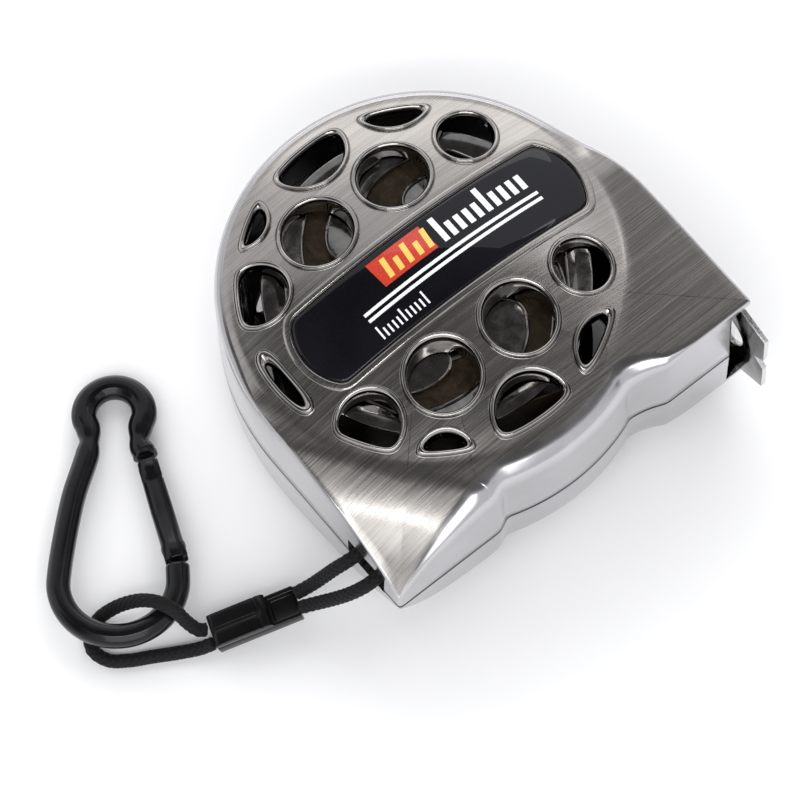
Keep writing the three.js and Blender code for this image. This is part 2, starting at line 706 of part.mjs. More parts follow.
// A cord through hand-placed points, with square ends.
function cord(points) {
  const curve = new THREE.CatmullRomCurve3(
    points.map(([x, y, z]) => new THREE.Vector3(x, y, z)), false, "centripetal",
  );
  const section = new THREE.Shape();
  for (let i = 0; i < 8; i++) {
    const a = (Math.PI * (i + 0.5)) / 4;
    const p = [(CORD_DIAMETER / 2) * Math.cos(a), (CORD_DIAMETER / 2) * Math.sin(a)];
    if (i) {
      section.lineTo(...p);
    } else {
      section.moveTo(...p);
    }
  }
  const steps = Math.min(80, Math.round(curve.getLength() / (CORD_DIAMETER * 0.6)));
  return new THREE.ExtrudeGeometry(section, { steps, extrudePath: curve, bevelEnabled: false });
}

// From the clip, in through the slot, round the strap pin and back to the clip.
const loop = PIN_RADIUS + PIN_GAP + CORD_DIAMETER / 2;
const strapRoute = [
  [-46.6, -21.5, -12.1], [-45.2, -22.0, -11.4], [-43.6, -22.9, -9.4], [-42.1, -24.0, -6.4],
  [-40.6, -25.1, -3.3], [-38.9, -26.0, -1.2],
  [pinX - 3.4, PIN_Y + loop, SLOT_Z], [pinX - 1, PIN_Y + loop, SLOT_Z],
];
for (const degrees of [65, 32, 0, -32, -65]) {
  const a = THREE.MathUtils.degToRad(degrees);
  strapRoute.push([pinX + loop * Math.cos(a), PIN_Y + loop * Math.sin(a), SLOT_Z]);
}
strapRoute.push(
  [pinX - 1, PIN_Y - loop, SLOT_Z], [pinX - 3.4, PIN_Y - loop, SLOT_Z],
  [-38.9, -31.4, -1.2], [-40.8, -30.3, -3.3], [-42.6, -28.5, -6.4], [-44.4, -26.5, -9.4],
  [-46.1, -24.9, -11.4], [-47.5, -24.0, -12.1],
);
add("strap_cord", cord(strapRoute), blackCord);

// From the clip over the wide end of the snap hook, down into it, under it and back.
const loopRoute = [
  [-61.8, -15.9, -15.4], [-62.8, -15.3, -14.9], [-63.8, -13.8, -12.9], [-64.7, -11.8, -9.7],
  [-65.9, -9.3, -9.0], [-67.4, -7.0, -10.0], [-69.2, -4.9, -12.2], [-71.6, -3.1, -14.9],
  [-74.2, -2.4, -16.6], [-76.9, -3.4, -17.0], [-78.5, -6.1, -17.05], [-77.6, -9.2, -17.05],
  [-75.0, -11.4, -17.05], [-71.5, -13.4, -17.05], [-67.6, -15.7, -17.0], [-64.4, -17.6, -16.4],
  [-62.3, -18.6, -15.5],
];
add("loop_cord", cord(loopRoute), blackCord);

// The clip's frame: X from the snap-hook end towards the case, Y across, Z up out of the lid.
const clipFar = new THREE.Vector3(-61.4, -17.4, -15.3);
const clipNear = new THREE.Vector3(-47.3, -22.6, -12.3);
const clipLength = clipFar.distanceTo(clipNear);
const clip = new THREE.Group();
const clipX = clipNear.clone().sub(clipFar).normalize();
const clipY = new THREE.Vector3(-clipX.y, clipX.x, 0).normalize();
clip.applyMatrix4(
  new THREE.Matrix4().makeBasis(clipX, clipY, clipX.clone().cross(clipY)).setPosition(clipFar),
);
group.add(clip);
const clipHalf = CLIP_WIDTH / 2;
const clipSplit = CLIP_HEIGHT * 0.1;
function clipBase() {
  const body = solid(box(0, clipLength, -clipHalf, clipHalf, -CLIP_HEIGHT / 2, clipSplit - CLEAR / 2));
  const trough = box(
    CLIP_LID + CLEAR, clipLength + 1, CLIP_WALL - clipHalf, clipHalf - CLIP_WALL,
    CLIP_WALL - CLIP_HEIGHT / 2, CLIP_HEIGHT,
  );
  return body.subtract(solid(trough));
}
function clipLid() {
  const body = solid(box(0, CLIP_LID, -clipHalf, clipHalf, clipSplit + CLEAR / 2, CLIP_HEIGHT / 2));
  const groove = box(-1, CLIP_LID - 1.2, -0.3, 0.3, CLIP_HEIGHT / 2 - CLIP_GROOVE, CLIP_HEIGHT);
  return body.subtract(solid(groove));
}
add("clip_base", clipBase(), blackPlastic, clip);
add("clip_lid", clipLid(), blackPlastic, clip);

// ---------------------------------------------------------------- snap hook
// Its frame: X along the axis from the small end's centre to the wide end's, Y towards the gate.
const ringCentre = new THREE.Vector3(-49.8, 25.2, -15.6);
const bowRise = 2.1; // the wide end lies on the cord
const hookHeading = new THREE.Vector2(-0.586, -0.81).normalize();
const level = Math.sqrt(1 - (bowRise / EYE_SPACING) ** 2);
const snapX = new THREE.Vector3(
  hookHeading.x * level, hookHeading.y * level, bowRise / EYE_SPACING,
);
const snapY = new THREE.Vector3(-hookHeading.y, hookHeading.x, 0);
const snap = new THREE.Group();
snap.applyMatrix4(
  new THREE.Matrix4().makeBasis(snapX, snapY, snapX.clone().cross(snapY)).setPosition(ringCentre),
);
group.add(snap);

const gateFrom = new THREE.Vector2(GATE_START, RING_RADIUS + 0.3);
const gateTo = new THREE.Vector2(GATE_END, BOW_RADIUS - 0.1);
const gateAngle = Math.atan2(gateTo.y - gateFrom.y, gateTo.x - gateFrom.x);
const gateLength = gateFrom.distanceTo(gateTo);
// the bar's two ends stand square to the bar, so they keep off the slanting gate by a share of it
const hingeGap = CLEAR + 0.6 * BAR_RADIUS;
const catchGap = CLEAR + 0.25 * BAR_RADIUS;

function barAlong(points, sides) {
  const curve = new THREE.CatmullRomCurve3(
    points.map(([x, y]) => new THREE.Vector3(x, y, 0)), false, "centripetal",
  );
  const section = new THREE.Shape();
  for (let i = 0; i < sides; i++) {
    const a = (2 * Math.PI * (i + 0.5)) / sides;
    const p = [BAR_RADIUS * Math.cos(a), BAR_RADIUS * Math.sin(a)];
    if (i) {
      section.lineTo(...p);
    } else {
      section.moveTo(...p);
    }
  }
  const steps = Math.min(64, Math.round(curve.getLength() / 2.2));
  return new THREE.ExtrudeGeometry(section, { steps, extrudePath: curve, bevelEnabled: false });
}

function snapFrame() {
  const route = [
    [GATE_START - hingeGap, RING_RADIUS], [GATE_START - hingeGap - 1.8, RING_RADIUS - 0.9],
  ];
  for (let i = 0; i <= 10; i++) {
    const a = THREE.MathUtils.degToRad(60 + i * 24);
    route.push([RING_RADIUS * Math.cos(a), RING_RADIUS * Math.sin(a)]);
  }
  route.push([GATE_START - 3.4, -RING_RADIUS + 0.7]);
  route.push([EYE_SPACING * 0.5, (-RING_RADIUS - BOW_RADIUS) / 2 + 0.3]);
  for (let i = 0; i <= 10; i++) {
    const a = THREE.MathUtils.degToRad(-103 + i * 20);
    route.push([EYE_SPACING + BOW_RADIUS * Math.cos(a), BOW_RADIUS * Math.sin(a)]);
  }
  route.push([GATE_END + catchGap, gateTo.y]);
  let body = solid(barAlong(route, 8));
  // tang for the gate's fork, and the tongue that the gate's tip closes on
  const along = (from, to, halfWidth, halfHeight) =>
    box(from, to, -halfWidth, halfWidth, -halfHeight, halfHeight)
      .rotateZ(gateAngle)
      .translate(gateFrom.x, gateFrom.y, 0);
  body = body.add(solid(along(-hingeGap - 0.8, TANG_REACH, 1.5, TANG_HALF)));
  body = body.add(solid(along(gateLength - CATCH_REACH, gateLength + catchGap + 1, 1.2, CATCH_HALF)));
  const eye = disc(GATE_PIN_RADIUS + RUNNING, -4, 4, 12).translate(GATE_PIN_AT, 0, 0);
  return body.subtract(solid(eye.rotateZ(gateAngle).translate(gateFrom.x, gateFrom.y, 0)));
}
add("snap_frame", snapFrame(), blackPaint, snap);

// The gate's frame: X from the hinge end to the tip.
const gate = new THREE.Group();
gate.position.set(gateFrom.x, gateFrom.y, 0);
gate.rotation.z = gateAngle;
snap.add(gate);
const reach = BAR_RADIUS + 1; // clear past the gate's bar, for cuts

function lengthwise(radius, from, to, sides) {
  return disc(radius, from, to, sides).rotateY(Math.PI / 2);
}
function snapGate() {
  let body = solid(lengthwise(BAR_RADIUS, 0, gateLength, 16));
  const slotHalf = (half) => half + CLEAR;
  body = body.subtract(
    solid(box(-1, BORE_START, -reach, reach, -slotHalf(TANG_HALF), slotHalf(TANG_HALF))),
  );
  body = body.subtract(
    solid(box(
      gateLength - CATCH_REACH - CLEAR - 0.1, gateLength + 1, -reach, reach,
      -slotHalf(CATCH_HALF), slotHalf(CATCH_HALF),
    )),
  );
  body = body.subtract(solid(lengthwise(PLUNGER_RADIUS + 0.2, BORE_START - 0.2, BORE_END, 12)));
  const eye = disc(GATE_PIN_RADIUS + RUNNING, -reach, reach, 12).translate(GATE_PIN_AT, 0, 0);
  return body.subtract(solid(eye));
}
add("snap_gate", snapGate(), blackPaint, gate);
const pinHalf = BAR_RADIUS + 0.1;
add("gate_pin", disc(GATE_PIN_RADIUS, -pinHalf, pinHalf, 12).translate(GATE_PIN_AT, 0, 0), blackPaint, gate);
const plungerEnd = BORE_START + CLEAR + PLUNGER_LENGTH;
add("gate_plunger", lengthwise(PLUNGER_RADIUS, BORE_START + CLEAR, plungerEnd, 12), steel, gate);

class Helix extends THREE.Curve {
  getPoint(t, target = new THREE.Vector3()) {
    const a = 2 * Math.PI * COIL_TURNS * t;
    const from = plungerEnd + CLEAR + WIRE_HALF;
    const length = BORE_END - 2 * CLEAR - from;
    const radius = PLUNGER_RADIUS - 0.04 - WIRE_HALF;
    return target.set(from + length * t, radius * Math.cos(a), radius * Math.sin(a));
  }
}
const wire = new THREE.Shape();
wire.moveTo(WIRE_HALF, WIRE_HALF);
wire.lineTo(-WIRE_HALF, WIRE_HALF);
wire.lineTo(-WIRE_HALF, -WIRE_HALF);
wire.lineTo(WIRE_HALF, -WIRE_HALF);
add(
  "gate_spring",
  new THREE.ExtrudeGeometry(wire, { steps: 54, extrudePath: new Helix(), bevelEnabled: false }),
  steel,
  gate,
);

export default group;
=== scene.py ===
import json
import math

import bpy
import bmesh
import numpy as np
from mathutils import Matrix, Vector


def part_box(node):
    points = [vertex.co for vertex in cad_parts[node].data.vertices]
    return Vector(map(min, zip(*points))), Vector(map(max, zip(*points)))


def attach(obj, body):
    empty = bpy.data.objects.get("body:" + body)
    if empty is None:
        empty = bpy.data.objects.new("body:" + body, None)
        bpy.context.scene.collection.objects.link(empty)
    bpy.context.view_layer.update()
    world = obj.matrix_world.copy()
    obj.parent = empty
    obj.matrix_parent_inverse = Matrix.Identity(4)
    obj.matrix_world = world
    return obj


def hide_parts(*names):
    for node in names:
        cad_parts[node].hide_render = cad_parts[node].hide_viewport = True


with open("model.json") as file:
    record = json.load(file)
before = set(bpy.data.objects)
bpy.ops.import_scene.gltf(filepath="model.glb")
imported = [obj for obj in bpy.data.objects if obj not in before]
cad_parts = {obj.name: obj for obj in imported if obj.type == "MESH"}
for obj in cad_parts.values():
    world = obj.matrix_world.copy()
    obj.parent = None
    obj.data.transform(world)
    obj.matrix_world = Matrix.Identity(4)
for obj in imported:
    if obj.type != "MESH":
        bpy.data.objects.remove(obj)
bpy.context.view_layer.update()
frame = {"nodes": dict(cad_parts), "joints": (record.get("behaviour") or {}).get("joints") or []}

# Pieces are drawn in millimetres about the case's mid-plane, as a maker's drawing has them, and
# in_metres puts them into the frame. +X runs from heel to mouth, +Y to the round top.
MM = 0.001
MID = next(j["pos_m"][2] for j in frame["joints"] if j["name"] == "reel_spin") / MM

# ------------------------------------------------------------------ driving sizes
BLADE_HALF = 12.5
COIL_RADIUS = 25.0
HUB_RADIUS = 14.6
FLANGE_RADIUS = 27.8
FLANGE_FACE = (12.75, 13.45)  # inner and outer face of each flange
WALL = 1.8
FACE_WALL = 1.2
PLATEAU = 33.6
CASE_RADIUS = 36.0
SHOULDER = 14.0
DOME_RISE = 6.3
REST = 18.3
ROUND_DROP = 1.2
DRAFT = 0.35
PARTING = -2.0
SEAM = 0.3
FRONT_X, BACK_X, BASE_Y = 39.5, -36.9, -37.9
BELLY_RADIUS = 38.8
MOUTH_X = 34.5
MOUTH_TOP = -31.6
MOUTH_HALF = 12.8
FACET_BACK_Y, FACET_BASE_X = -8.0, -14.6
FACET_EDGE = 0.6
HOLE_CLIP = 32.6
BEAD = 1.5
BADGE_LEFT, BADGE_RIGHT, BADGE_HALF, BADGE_END = -25.8, 31.6, 7.4, 11.0
BORDER = 1.4
END_HOLE = (-28.2, 7.5)  # right-hand edge and half height of the hole at the badge's left end
PIN = (-33.3, -29.0)
SLOT_HALF = (4.75, 3.0)  # half height and half thickness of the strap slot
SLOT_Z = -0.6
CORD = 2.4
BAR = 2.2
RING, BOW, EYES = 5.2, 10.2, 31.4  # bends at the snap hook's ends, and the distance between them
GATE_FROM, GATE_TO = (9.6, 5.5), (28.4, 10.1)  # ends of the gate in the snap hook's frame
HOOK_X = (37.2, 38.1)  # inner and outer face of the end hook
HOOK_END = BASE_Y - 5.5
HOOK_FOOT = 9.1  # half width of the hook's lower edge
HOOK_NOTCH = (1.85, 2.3)  # half width and depth of the notch in it
NAIL_HOLE = 4.7
BLADE_Y = BASE_Y + 4.8
TONGUE = (BLADE_Y - 1.15, BLADE_Y - 0.35)
RIVET_X = 32.7
CLIP_FAR, CLIP_NEAR = (-61.4, -17.4, -15.3), (-47.3, -22.6, -12.3)
WINDOWS = 6
BLADE_TURNS, SPRING_TURNS = 46.0, 9.0
PANEL_DISTANCE = 1.1


def node_centre(node):
    """Middle of a CAD node, in millimetres about the mid-plane."""
    low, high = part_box(node)
    return (low + high) / 2 / MM - Vector((0, 0, MID))


SCREW_PLACES = [tuple(node_centre(f"case_screw_{i}")[:2]) for i in (1, 2, 3, 4)]


# ------------------------------------------------------------------ camera and light
def aim(azimuth, elevation):
    """Direction from the case towards a point at that bearing: azimuth 0 is the base side."""
    a, e = math.radians(azimuth), math.radians(elevation)
    return Vector((math.sin(a) * math.cos(e), -math.cos(a) * math.cos(e), math.sin(e)))


def facing(azimuth, elevation, distance):
    """Place and turn of a lamp or card that looks at the case from a bearing, in metres."""
    out = aim(azimuth, elevation)
    return Matrix.Translation(out * distance) @ out.to_track_quat("Z", "Y").to_matrix().to_4x4()


def in_scene(name, data):
    """A new object for its data, linked to the scene."""
    made = bpy.data.objects.new(name, data)
    bpy.context.scene.collection.objects.link(made)
    return made


def make_camera():
    """A long lens well above the base side, a little rolled and aimed left of and below the reel."""
    distance, left, down = 847.46, 4.915, 14.847
    data = bpy.data.cameras.new("camera")
    data.sensor_width = 36
    data.lens = 225
    data.clip_start, data.clip_end = 0.05, 20
    camera = in_scene("camera", data)
    back = aim(-34.07, 67.4)
    right = Vector((0, 0, 1)).cross(back).normalized()
    up = back.cross(right)
    roll = math.radians(-5.1)
    across = right * math.cos(roll) + up * math.sin(roll)
    upright = up * math.cos(roll) - right * math.sin(roll)
    place = back * distance - across * left - upright * down + Vector((0, 0, MID))
    turn = Matrix((across, upright, back)).transposed().to_4x4()
    camera.matrix_world = Matrix.Translation(place * MM) @ turn
    bpy.context.scene.camera = camera


def soft_light(name, azimuth, elevation, size, glow, tint=(1, 1, 1)):
    """A bright panel; glow is how bright it looks against the white of the floor."""
    data = bpy.data.lights.new(name, "AREA")
    data.shape = "RECTANGLE"
    data.size, data.size_y = size
    data.energy = glow * math.pi * size[0] * size[1]
    data.color = tint
    light = in_scene(name, data)
    light.matrix_world = facing(azimuth, elevation, PANEL_DISTANCE)


def fill_light(name, azimuth, elevation, strength):
    """Broad light that brightens floor and matt surfaces without showing in the plate."""
    data = bpy.data.lights.new(name, "SUN")
    data.energy = strength
    data.angle = math.radians(70)
    light = in_scene(name, data)
    light.matrix_world = facing(azimuth, elevation, 1)
    light.visible_glossy = False


def flat_sheet(name, width, depth, look):
    """A sheet about the origin; look gives its shader's sockets by name."""
    mesh = bpy.data.meshes.new(name)
    w, h = width / 2, depth / 2
    mesh.from_pydata([(-w, -h, 0), (w, -h, 0), (w, h, 0), (-w, h, 0)], [], [(0, 1, 2, 3)])
    material = bpy.data.materials.new(name)
    material.use_nodes = True
    shader = material.node_tree.nodes["Principled BSDF"]
    for socket, value in look.items():
        shader.inputs[socket].default_value = value
    mesh.materials.append(material)
    return in_scene(name, mesh)


def dark_card(name, azimuth, elevation, distance, size):
    """A dim card that is out of the view and casts no shadow, but shows in the plate."""
    card = flat_sheet(name, *size, {
        "Base Color": (0.004, 0.004, 0.005, 1), "Specular IOR Level": 0,
        "Emission Color": (1.0, 0.98, 0.96, 1), "Emission Strength": 0.1,
    })
    card.matrix_world = facing(azimuth, elevation, distance)
    card.visible_camera = False
    card.visible_shadow = False


def make_studio():
    """A pale room: fills, panels and dim cards for the plate to reflect, and a matt floor."""
    world = bpy.data.worlds.new("studio")
    bpy.context.scene.world = world
    world.use_nodes = True
    sky = world.node_tree.nodes["Background"]
    sky.inputs["Color"].default_value = (0.96, 0.97, 1.0, 1)
    sky.inputs["Strength"].default_value = 0.85
    fill_light("far_fill", 150, 50, 1.2)
    fill_light("left_fill", -110, 55, 1.1)
    soft_light("far_panel", 146, 30, (1.0, 0.3), 1.2, (1, 0.985, 0.965))
    soft_light("right_panel", 85, 56, (0.4, 0.3), 2.6)
    soft_light("near_panel", -34, 36, (0.9, 0.6), 1.7)
    soft_light("near_strip", -34, 58, (0.8, 0.07), 11)
    dark_card("overhead_card", 146, 88, 0.85, (1.5, 0.78))
    dark_card("left_card", -100, 30, 1.0, (0.6, 0.6))
    dark_card("right_card", 62, 22, 1.0, (0.7, 0.45))
    bpy.context.scene.view_settings.view_transform = "Standard"
    plane = flat_sheet("floor", 6, 6, {"Base Color": (0.93, 0.93, 0.94, 1), "Roughness": 0.9})
    plane.location.z = -0.0002


# ------------------------------------------------------------------ material making
class Finish:
    """A material under construction: nodes are added and joined by short calls."""

    def __init__(self, name, color, rough, metal=0.0, coat=0.0, coat_rough=0.03):
        self.material = bpy.data.materials.new(name)
        self.material.use_nodes = True
        self.tree = self.material.node_tree
        self.shader = self.tree.nodes["Principled BSDF"]
        self.set("Base Color", (*color, 1))
        self.set("Roughness", rough)
        self.set("Metallic", metal)
        self.set("Coat Weight", coat)
        self.set("Coat Roughness", coat_rough)
        self.place = self.node("ShaderNodeTexCoord").outputs["Object"]

    def set(self, socket, value):
        self.shader.inputs[socket].default_value = value

    def node(self, kind, **values):
        made = self.tree.nodes.new(kind)
        for key, value in values.items():
            setattr(made, key, value)
        return made

    def join(self, source, target):
        self.tree.links.new(source, target)

    def math(self, operation, a, b=None, clamp=False):
        made = self.node("ShaderNodeMath", operation=operation, use_clamp=clamp)
        for socket, value in zip(made.inputs, (a, b)):
            if value is None:
                continue
            if isinstance(value, (int, float)):
                socket.default_value = value
            else:
                self.join(value, socket)
        return made.outputs[0]

    def stretched(self, scale, place=None):
        made = self.node("ShaderNodeMapping")
        made.inputs["Scale"].default_value = scale
        self.join(place or self.place, made.inputs["Vector"])
        return made.outputs[0]

    def noise(self, scale, detail=2.0, rough=0.5, stretch=(1, 1, 1)):
        made = self.node("ShaderNodeTexNoise")
        made.inputs["Scale"].default_value = scale
        made.inputs["Detail"].default_value = detail
        made.inputs["Roughness"].default_value = rough
        self.join(self.stretched(stretch), made.inputs["Vector"])
        return made.outputs["Fac"]

    def ramp(self, value, low, high, start, end):
        """value from low..high, spread onto start..end."""
        made = self.node("ShaderNodeMapRange")
        for socket, number in zip(("From Min", "From Max", "To Min", "To Max"), (low, high, start, end)):
            made.inputs[socket].default_value = number
        self.join(value, made.inputs["Value"])
        return made.outputs["Result"]

    def tones(self, value, *stops):
        made = self.node("ShaderNodeValToRGB")
        band = made.color_ramp
        while len(band.elements) < len(stops):
            band.elements.new(0.5)
        for element, (at, color) in zip(band.elements, stops):
            element.position = at
            element.color = (*color, 1)
        self.join(value, made.inputs["Fac"])
        return made.outputs["Color"]

    def blend(self, share, a, b):
        made = self.node("ShaderNodeMix", data_type="RGBA")
        self.join(share, made.inputs["Factor"])
        for socket, value in ((made.inputs[6], a), (made.inputs[7], b)):
            if isinstance(value, tuple):
                socket.default_value = (*value, 1)
            else:
                self.join(value, socket)
        return made.outputs[2]

    def color(self, value):
        self.join(value, self.shader.inputs["Base Color"])

    def rough(self, value):
        self.join(value, self.shader.inputs["Roughness"])

    def relief(self, height, distance, strength=1.0):
        made = self.node("ShaderNodeBump")
        made.inputs["Strength"].default_value = strength
        made.inputs["Distance"].default_value = distance * MM
        self.join(height, made.inputs["Height"])
        for socket in ("Normal", "Coat Normal"):
            self.join(made.outputs[0], self.shader.inputs[socket])


def brushed_plate():
    f = Finish("brushed_black_nickel", (0.45, 0.43, 0.405), 0.2, 1.0)
    lines = f.noise(1000, 3, 0.6, (0.05, 4.2, 0.1))
    broad = f.noise(1000, 2, 0.5, (0.02, 0.9, 0.05))
    cloud = f.noise(40, 1, 0.4)
    both = f.math("ADD", lines, f.math("MULTIPLY", broad, 0.6))
    f.color(f.tones(both, (0.45, (0.29, 0.275, 0.258)), (1.1, (0.46, 0.438, 0.415))))
    f.rough(f.math("ADD", f.ramp(lines, 0.3, 0.7, 0.2, 0.3), f.ramp(cloud, 0.3, 0.7, -0.02, 0.02)))
    f.relief(lines, 0.004)
    return f.material


def satin_plate():
    f = Finish("satin_nickel_wall", (0.66, 0.65, 0.66), 0.2, 1.0)
    grain = f.noise(5200, 2, 0.5)
    cloud = f.noise(90, 3, 0.55)
    f.color(f.tones(cloud, (0.3, (0.49, 0.48, 0.49)), (0.7, (0.57, 0.56, 0.57))))
    f.rough(f.ramp(cloud, 0.3, 0.7, 0.16, 0.27))
    f.relief(grain, 0.0015)
    return f.material


def polished_plate():
    f = Finish("polished_black_nickel", (0.34, 0.325, 0.31), 0.05, 1.0)
    cloud = f.noise(240, 2, 0.5)
    smear = f.noise(900, 3, 0.6)
    f.color(f.tones(cloud, (0.35, (0.34, 0.327, 0.312)), (0.7, (0.43, 0.414, 0.397))))
    f.rough(f.ramp(smear, 0.35, 0.7, 0.025, 0.07))
    return f.material


def dark_flange():
    f = Finish("polished_reel_plate", (0.2, 0.193, 0.186), 0.1, 1.0)
    smear = f.noise(420, 3, 0.65)
    dust = f.noise(2600, 2, 0.6)
    f.color(f.tones(smear, (0.3, (0.15, 0.145, 0.14)), (0.75, (0.28, 0.272, 0.264))))
    f.rough(f.math("ADD", f.ramp(smear, 0.3, 0.7, 0.07, 0.2), f.ramp(dust, 0.6, 0.75, 0.0, 0.12)))
    f.relief(f.noise(160, 2, 0.5), 0.05)
    return f.material


def gloss_badge():
    f = Finish("gloss_badge_resin", (0.006, 0.006, 0.009), 0.2, 0.0, 0.7, 0.015)
    f.set("Specular IOR Level", 0.05)
    fleck = f.noise(9000, 1, 0.4)
    cloud = f.noise(70, 2, 0.5)
    base = f.tones(cloud, (0.3, (0.002, 0.002, 0.003)), (0.75, (0.006, 0.006, 0.009)))
    f.color(f.blend(f.ramp(fleck, 0.68, 0.74, 0, 1), base, (0.014, 0.014, 0.02)))
    f.relief(f.noise(55, 1, 0.4), 0.03)
    return f.material


def print_ink(name, color, second=None):
    """Glossy print, a little speckled towards a second colour."""
    f = Finish(name, color, 0.25, 0.0, 1.0, 0.02)
    speck = f.noise(4200, 2, 0.6)
    pale = tuple(min(1, c * 1.08) for c in color)
    f.color(f.tones(speck, (0.3, second or color), (0.7, pale)))
    f.rough(f.ramp(speck, 0.3, 0.7, 0.2, 0.32))
    return f.material


def satin_steel():
    f = Finish("hook_steel", (0.68, 0.68, 0.68), 0.24, 1.0)
    lines = f.noise(1000, 3, 0.6, (3, 3, 0.12))
    f.color(f.tones(lines, (0.3, (0.60, 0.60, 0.605)), (0.7, (0.76, 0.76, 0.76))))
    f.rough(f.ramp(lines, 0.3, 0.7, 0.18, 0.34))
    f.relief(lines, 0.006)
    return f.material


def spring_steel():
    f = Finish("spring_steel", (0.42, 0.42, 0.44), 0.3, 1.0)
    grain = f.noise(1500, 3, 0.6)
    f.color(f.tones(grain, (0.3, (0.34, 0.34, 0.36)), (0.7, (0.5, 0.5, 0.52))))
    f.rough(f.ramp(grain, 0.3, 0.7, 0.24, 0.4))
    f.relief(grain, 0.004)
    return f.material


def wound_blade():
    # Brown of the wound blade's edges, kept very dark as painted shade inside the case
    f = Finish("blade_edge_and_painted_shade", (0.12, 0.08, 0.045), 0.38, 0.5)
    grain = f.noise(700, 3, 0.7)
    dark, brown, pale = (0.02, 0.015, 0.01), (0.065, 0.046, 0.027), (0.13, 0.095, 0.06)
    f.color(f.tones(grain, (0.25, dark), (0.55, brown), (0.8, pale)))
    f.rough(f.ramp(grain, 0.3, 0.7, 0.28, 0.5))
    f.relief(grain, 0.01)
    return f.material


def marked_blade():
    """Lacquered blade face with graduation lines each millimetre, longer each 5 and 10."""
    f = Finish("marked_blade", (0.85, 0.6, 0.06), 0.34, 0.0, 0.5, 0.1)
    parts = f.node("ShaderNodeSeparateXYZ")
    f.join(f.place, parts.inputs[0])
    along, across = parts.outputs["X"], parts.outputs["Z"]
    edge = f.math("ABSOLUTE", f.math("SUBTRACT", across, MID * MM))
    marks = None
    for pitch, line, reach in ((1, 0.18, 3.2), (5, 0.24, 5.2), (10, 0.3, BLADE_HALF)):
        phase = f.math("PINGPONG", along, pitch * MM / 2)
        thin = f.math("LESS_THAN", phase, line * MM / 2)
        long = f.math("GREATER_THAN", edge, (BLADE_HALF - reach) * MM)
        mark = f.math("MULTIPLY", thin, long)
        marks = mark if marks is None else f.math("MAXIMUM", marks, mark)
    grain = f.noise(2500, 2, 0.5)
    base = f.tones(grain, (0.3, (0.78, 0.53, 0.05)), (0.7, (0.88, 0.64, 0.09)))
    f.color(f.blend(marks, base, (0.015, 0.015, 0.015)))
    f.rough(f.ramp(grain, 0.3, 0.7, 0.28, 0.42))
    return f.material


def moulded_plastic(name, color, rough, grain_size):
    f = Finish(name, color, rough)
    f.set("Specular IOR Level", 0.35)
    grain = f.noise(grain_size, 2, 0.5)
    cloud = f.noise(120, 2, 0.5)
    dark, pale = (tuple(share * c for c in color) for share in (0.75, 1.3))
    f.color(f.tones(cloud, (0.3, dark), (0.7, pale)))
    f.rough(f.ramp(cloud, 0.3, 0.7, rough - 0.06, rough + 0.08))
    f.relief(grain, 0.004)
    return f.material


def black_anodised():
    f = Finish("black_anodised_bar", (0.003, 0.003, 0.0035), 0.2, 0.0, 0.12, 0.06)
    f.set("Specular IOR Level", 0.3)
    grain = f.noise(3800, 2, 0.6)
    cloud = f.noise(140, 3, 0.6)
    f.color(f.tones(cloud, (0.3, (0.002, 0.002, 0.0025)), (0.75, (0.006, 0.006, 0.007))))
    f.rough(f.ramp(cloud, 0.3, 0.7, 0.15, 0.26))
    f.relief(grain, 0.002)
    return f.material


def braided_cord():
    f = Finish("black_braid", (0.004, 0.004, 0.0045), 0.72)
    f.set("Specular IOR Level", 0.22)
    f.set("Sheen Weight", 0.03)
    f.set("Sheen Roughness", 0.5)
    fibre = f.noise(7000, 3, 0.7)
    f.color(f.tones(fibre, (0.3, (0.002, 0.002, 0.0025)), (0.75, (0.011, 0.011, 0.012))))
    f.rough(f.ramp(fibre, 0.3, 0.7, 0.55, 0.8))
    f.relief(fibre, 0.03)
    return f.material


BRUSHED = brushed_plate()
SATIN = satin_plate()
POLISHED = polished_plate()
FLANGE_PLATE = dark_flange()
BADGE = gloss_badge()
RED_INK = print_ink("red_print", (0.55, 0.045, 0.02), (0.47, 0.03, 0.015))
WHITE_INK = print_ink("white_print", (0.85, 0.86, 0.86))
AMBER_INK = print_ink("amber_print", (0.9, 0.55, 0.12))
STEEL = satin_steel()
SPRING = spring_steel()
COIL_EDGE_SHADE = wound_blade()
MARKED = marked_blade()
PLASTIC = moulded_plastic("black_moulding", (0.006, 0.006, 0.0065), 0.34, 2600)
CLIP_GLOSS = moulded_plastic("black_clip_gloss", (0.004, 0.004, 0.0045), 0.16, 900)
ANODISED = black_anodised()
BRAID = braided_cord()


# ------------------------------------------------------------------ mesh making
def in_metres(points):
    """Points of the drawing in the frame's metres."""
    return [(x * MM, y * MM, (z + MID) * MM) for x, y, z in points]


def make_piece(name, points, faces, materials, slots=None, sharp=40, body="case", slot=None, stands_for=()):
    """A piece from points of the drawing; without a body it still has to be settled or used up."""
    mesh = bpy.data.meshes.new(name)
    mesh.from_pydata(in_metres(points), [], faces)
    for material in materials:
        mesh.materials.append(material)
    if slots is not None:
        mesh.polygons.foreach_set("material_index", slots)
    piece = in_scene(name, mesh)
    face_outward(mesh)
    smooth_by_angle(mesh, sharp)
    if body:
        settle(piece, body, stands_for)
    return piece


def face_outward(mesh):
    shape = bmesh.new()
    shape.from_mesh(mesh)
    bmesh.ops.recalc_face_normals(shape, faces=shape.faces)
    shape.to_mesh(mesh)
    shape.free()


def smooth_by_angle(mesh, degrees):
    mesh.validate()
    mesh.shade_smooth()
    mesh.set_sharp_from_angle(angle=math.radians(degrees))
    mesh.update()


def settle(piece, body, stands_for=()):
    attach(piece, body)
    if stands_for:
        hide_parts(*stands_for)


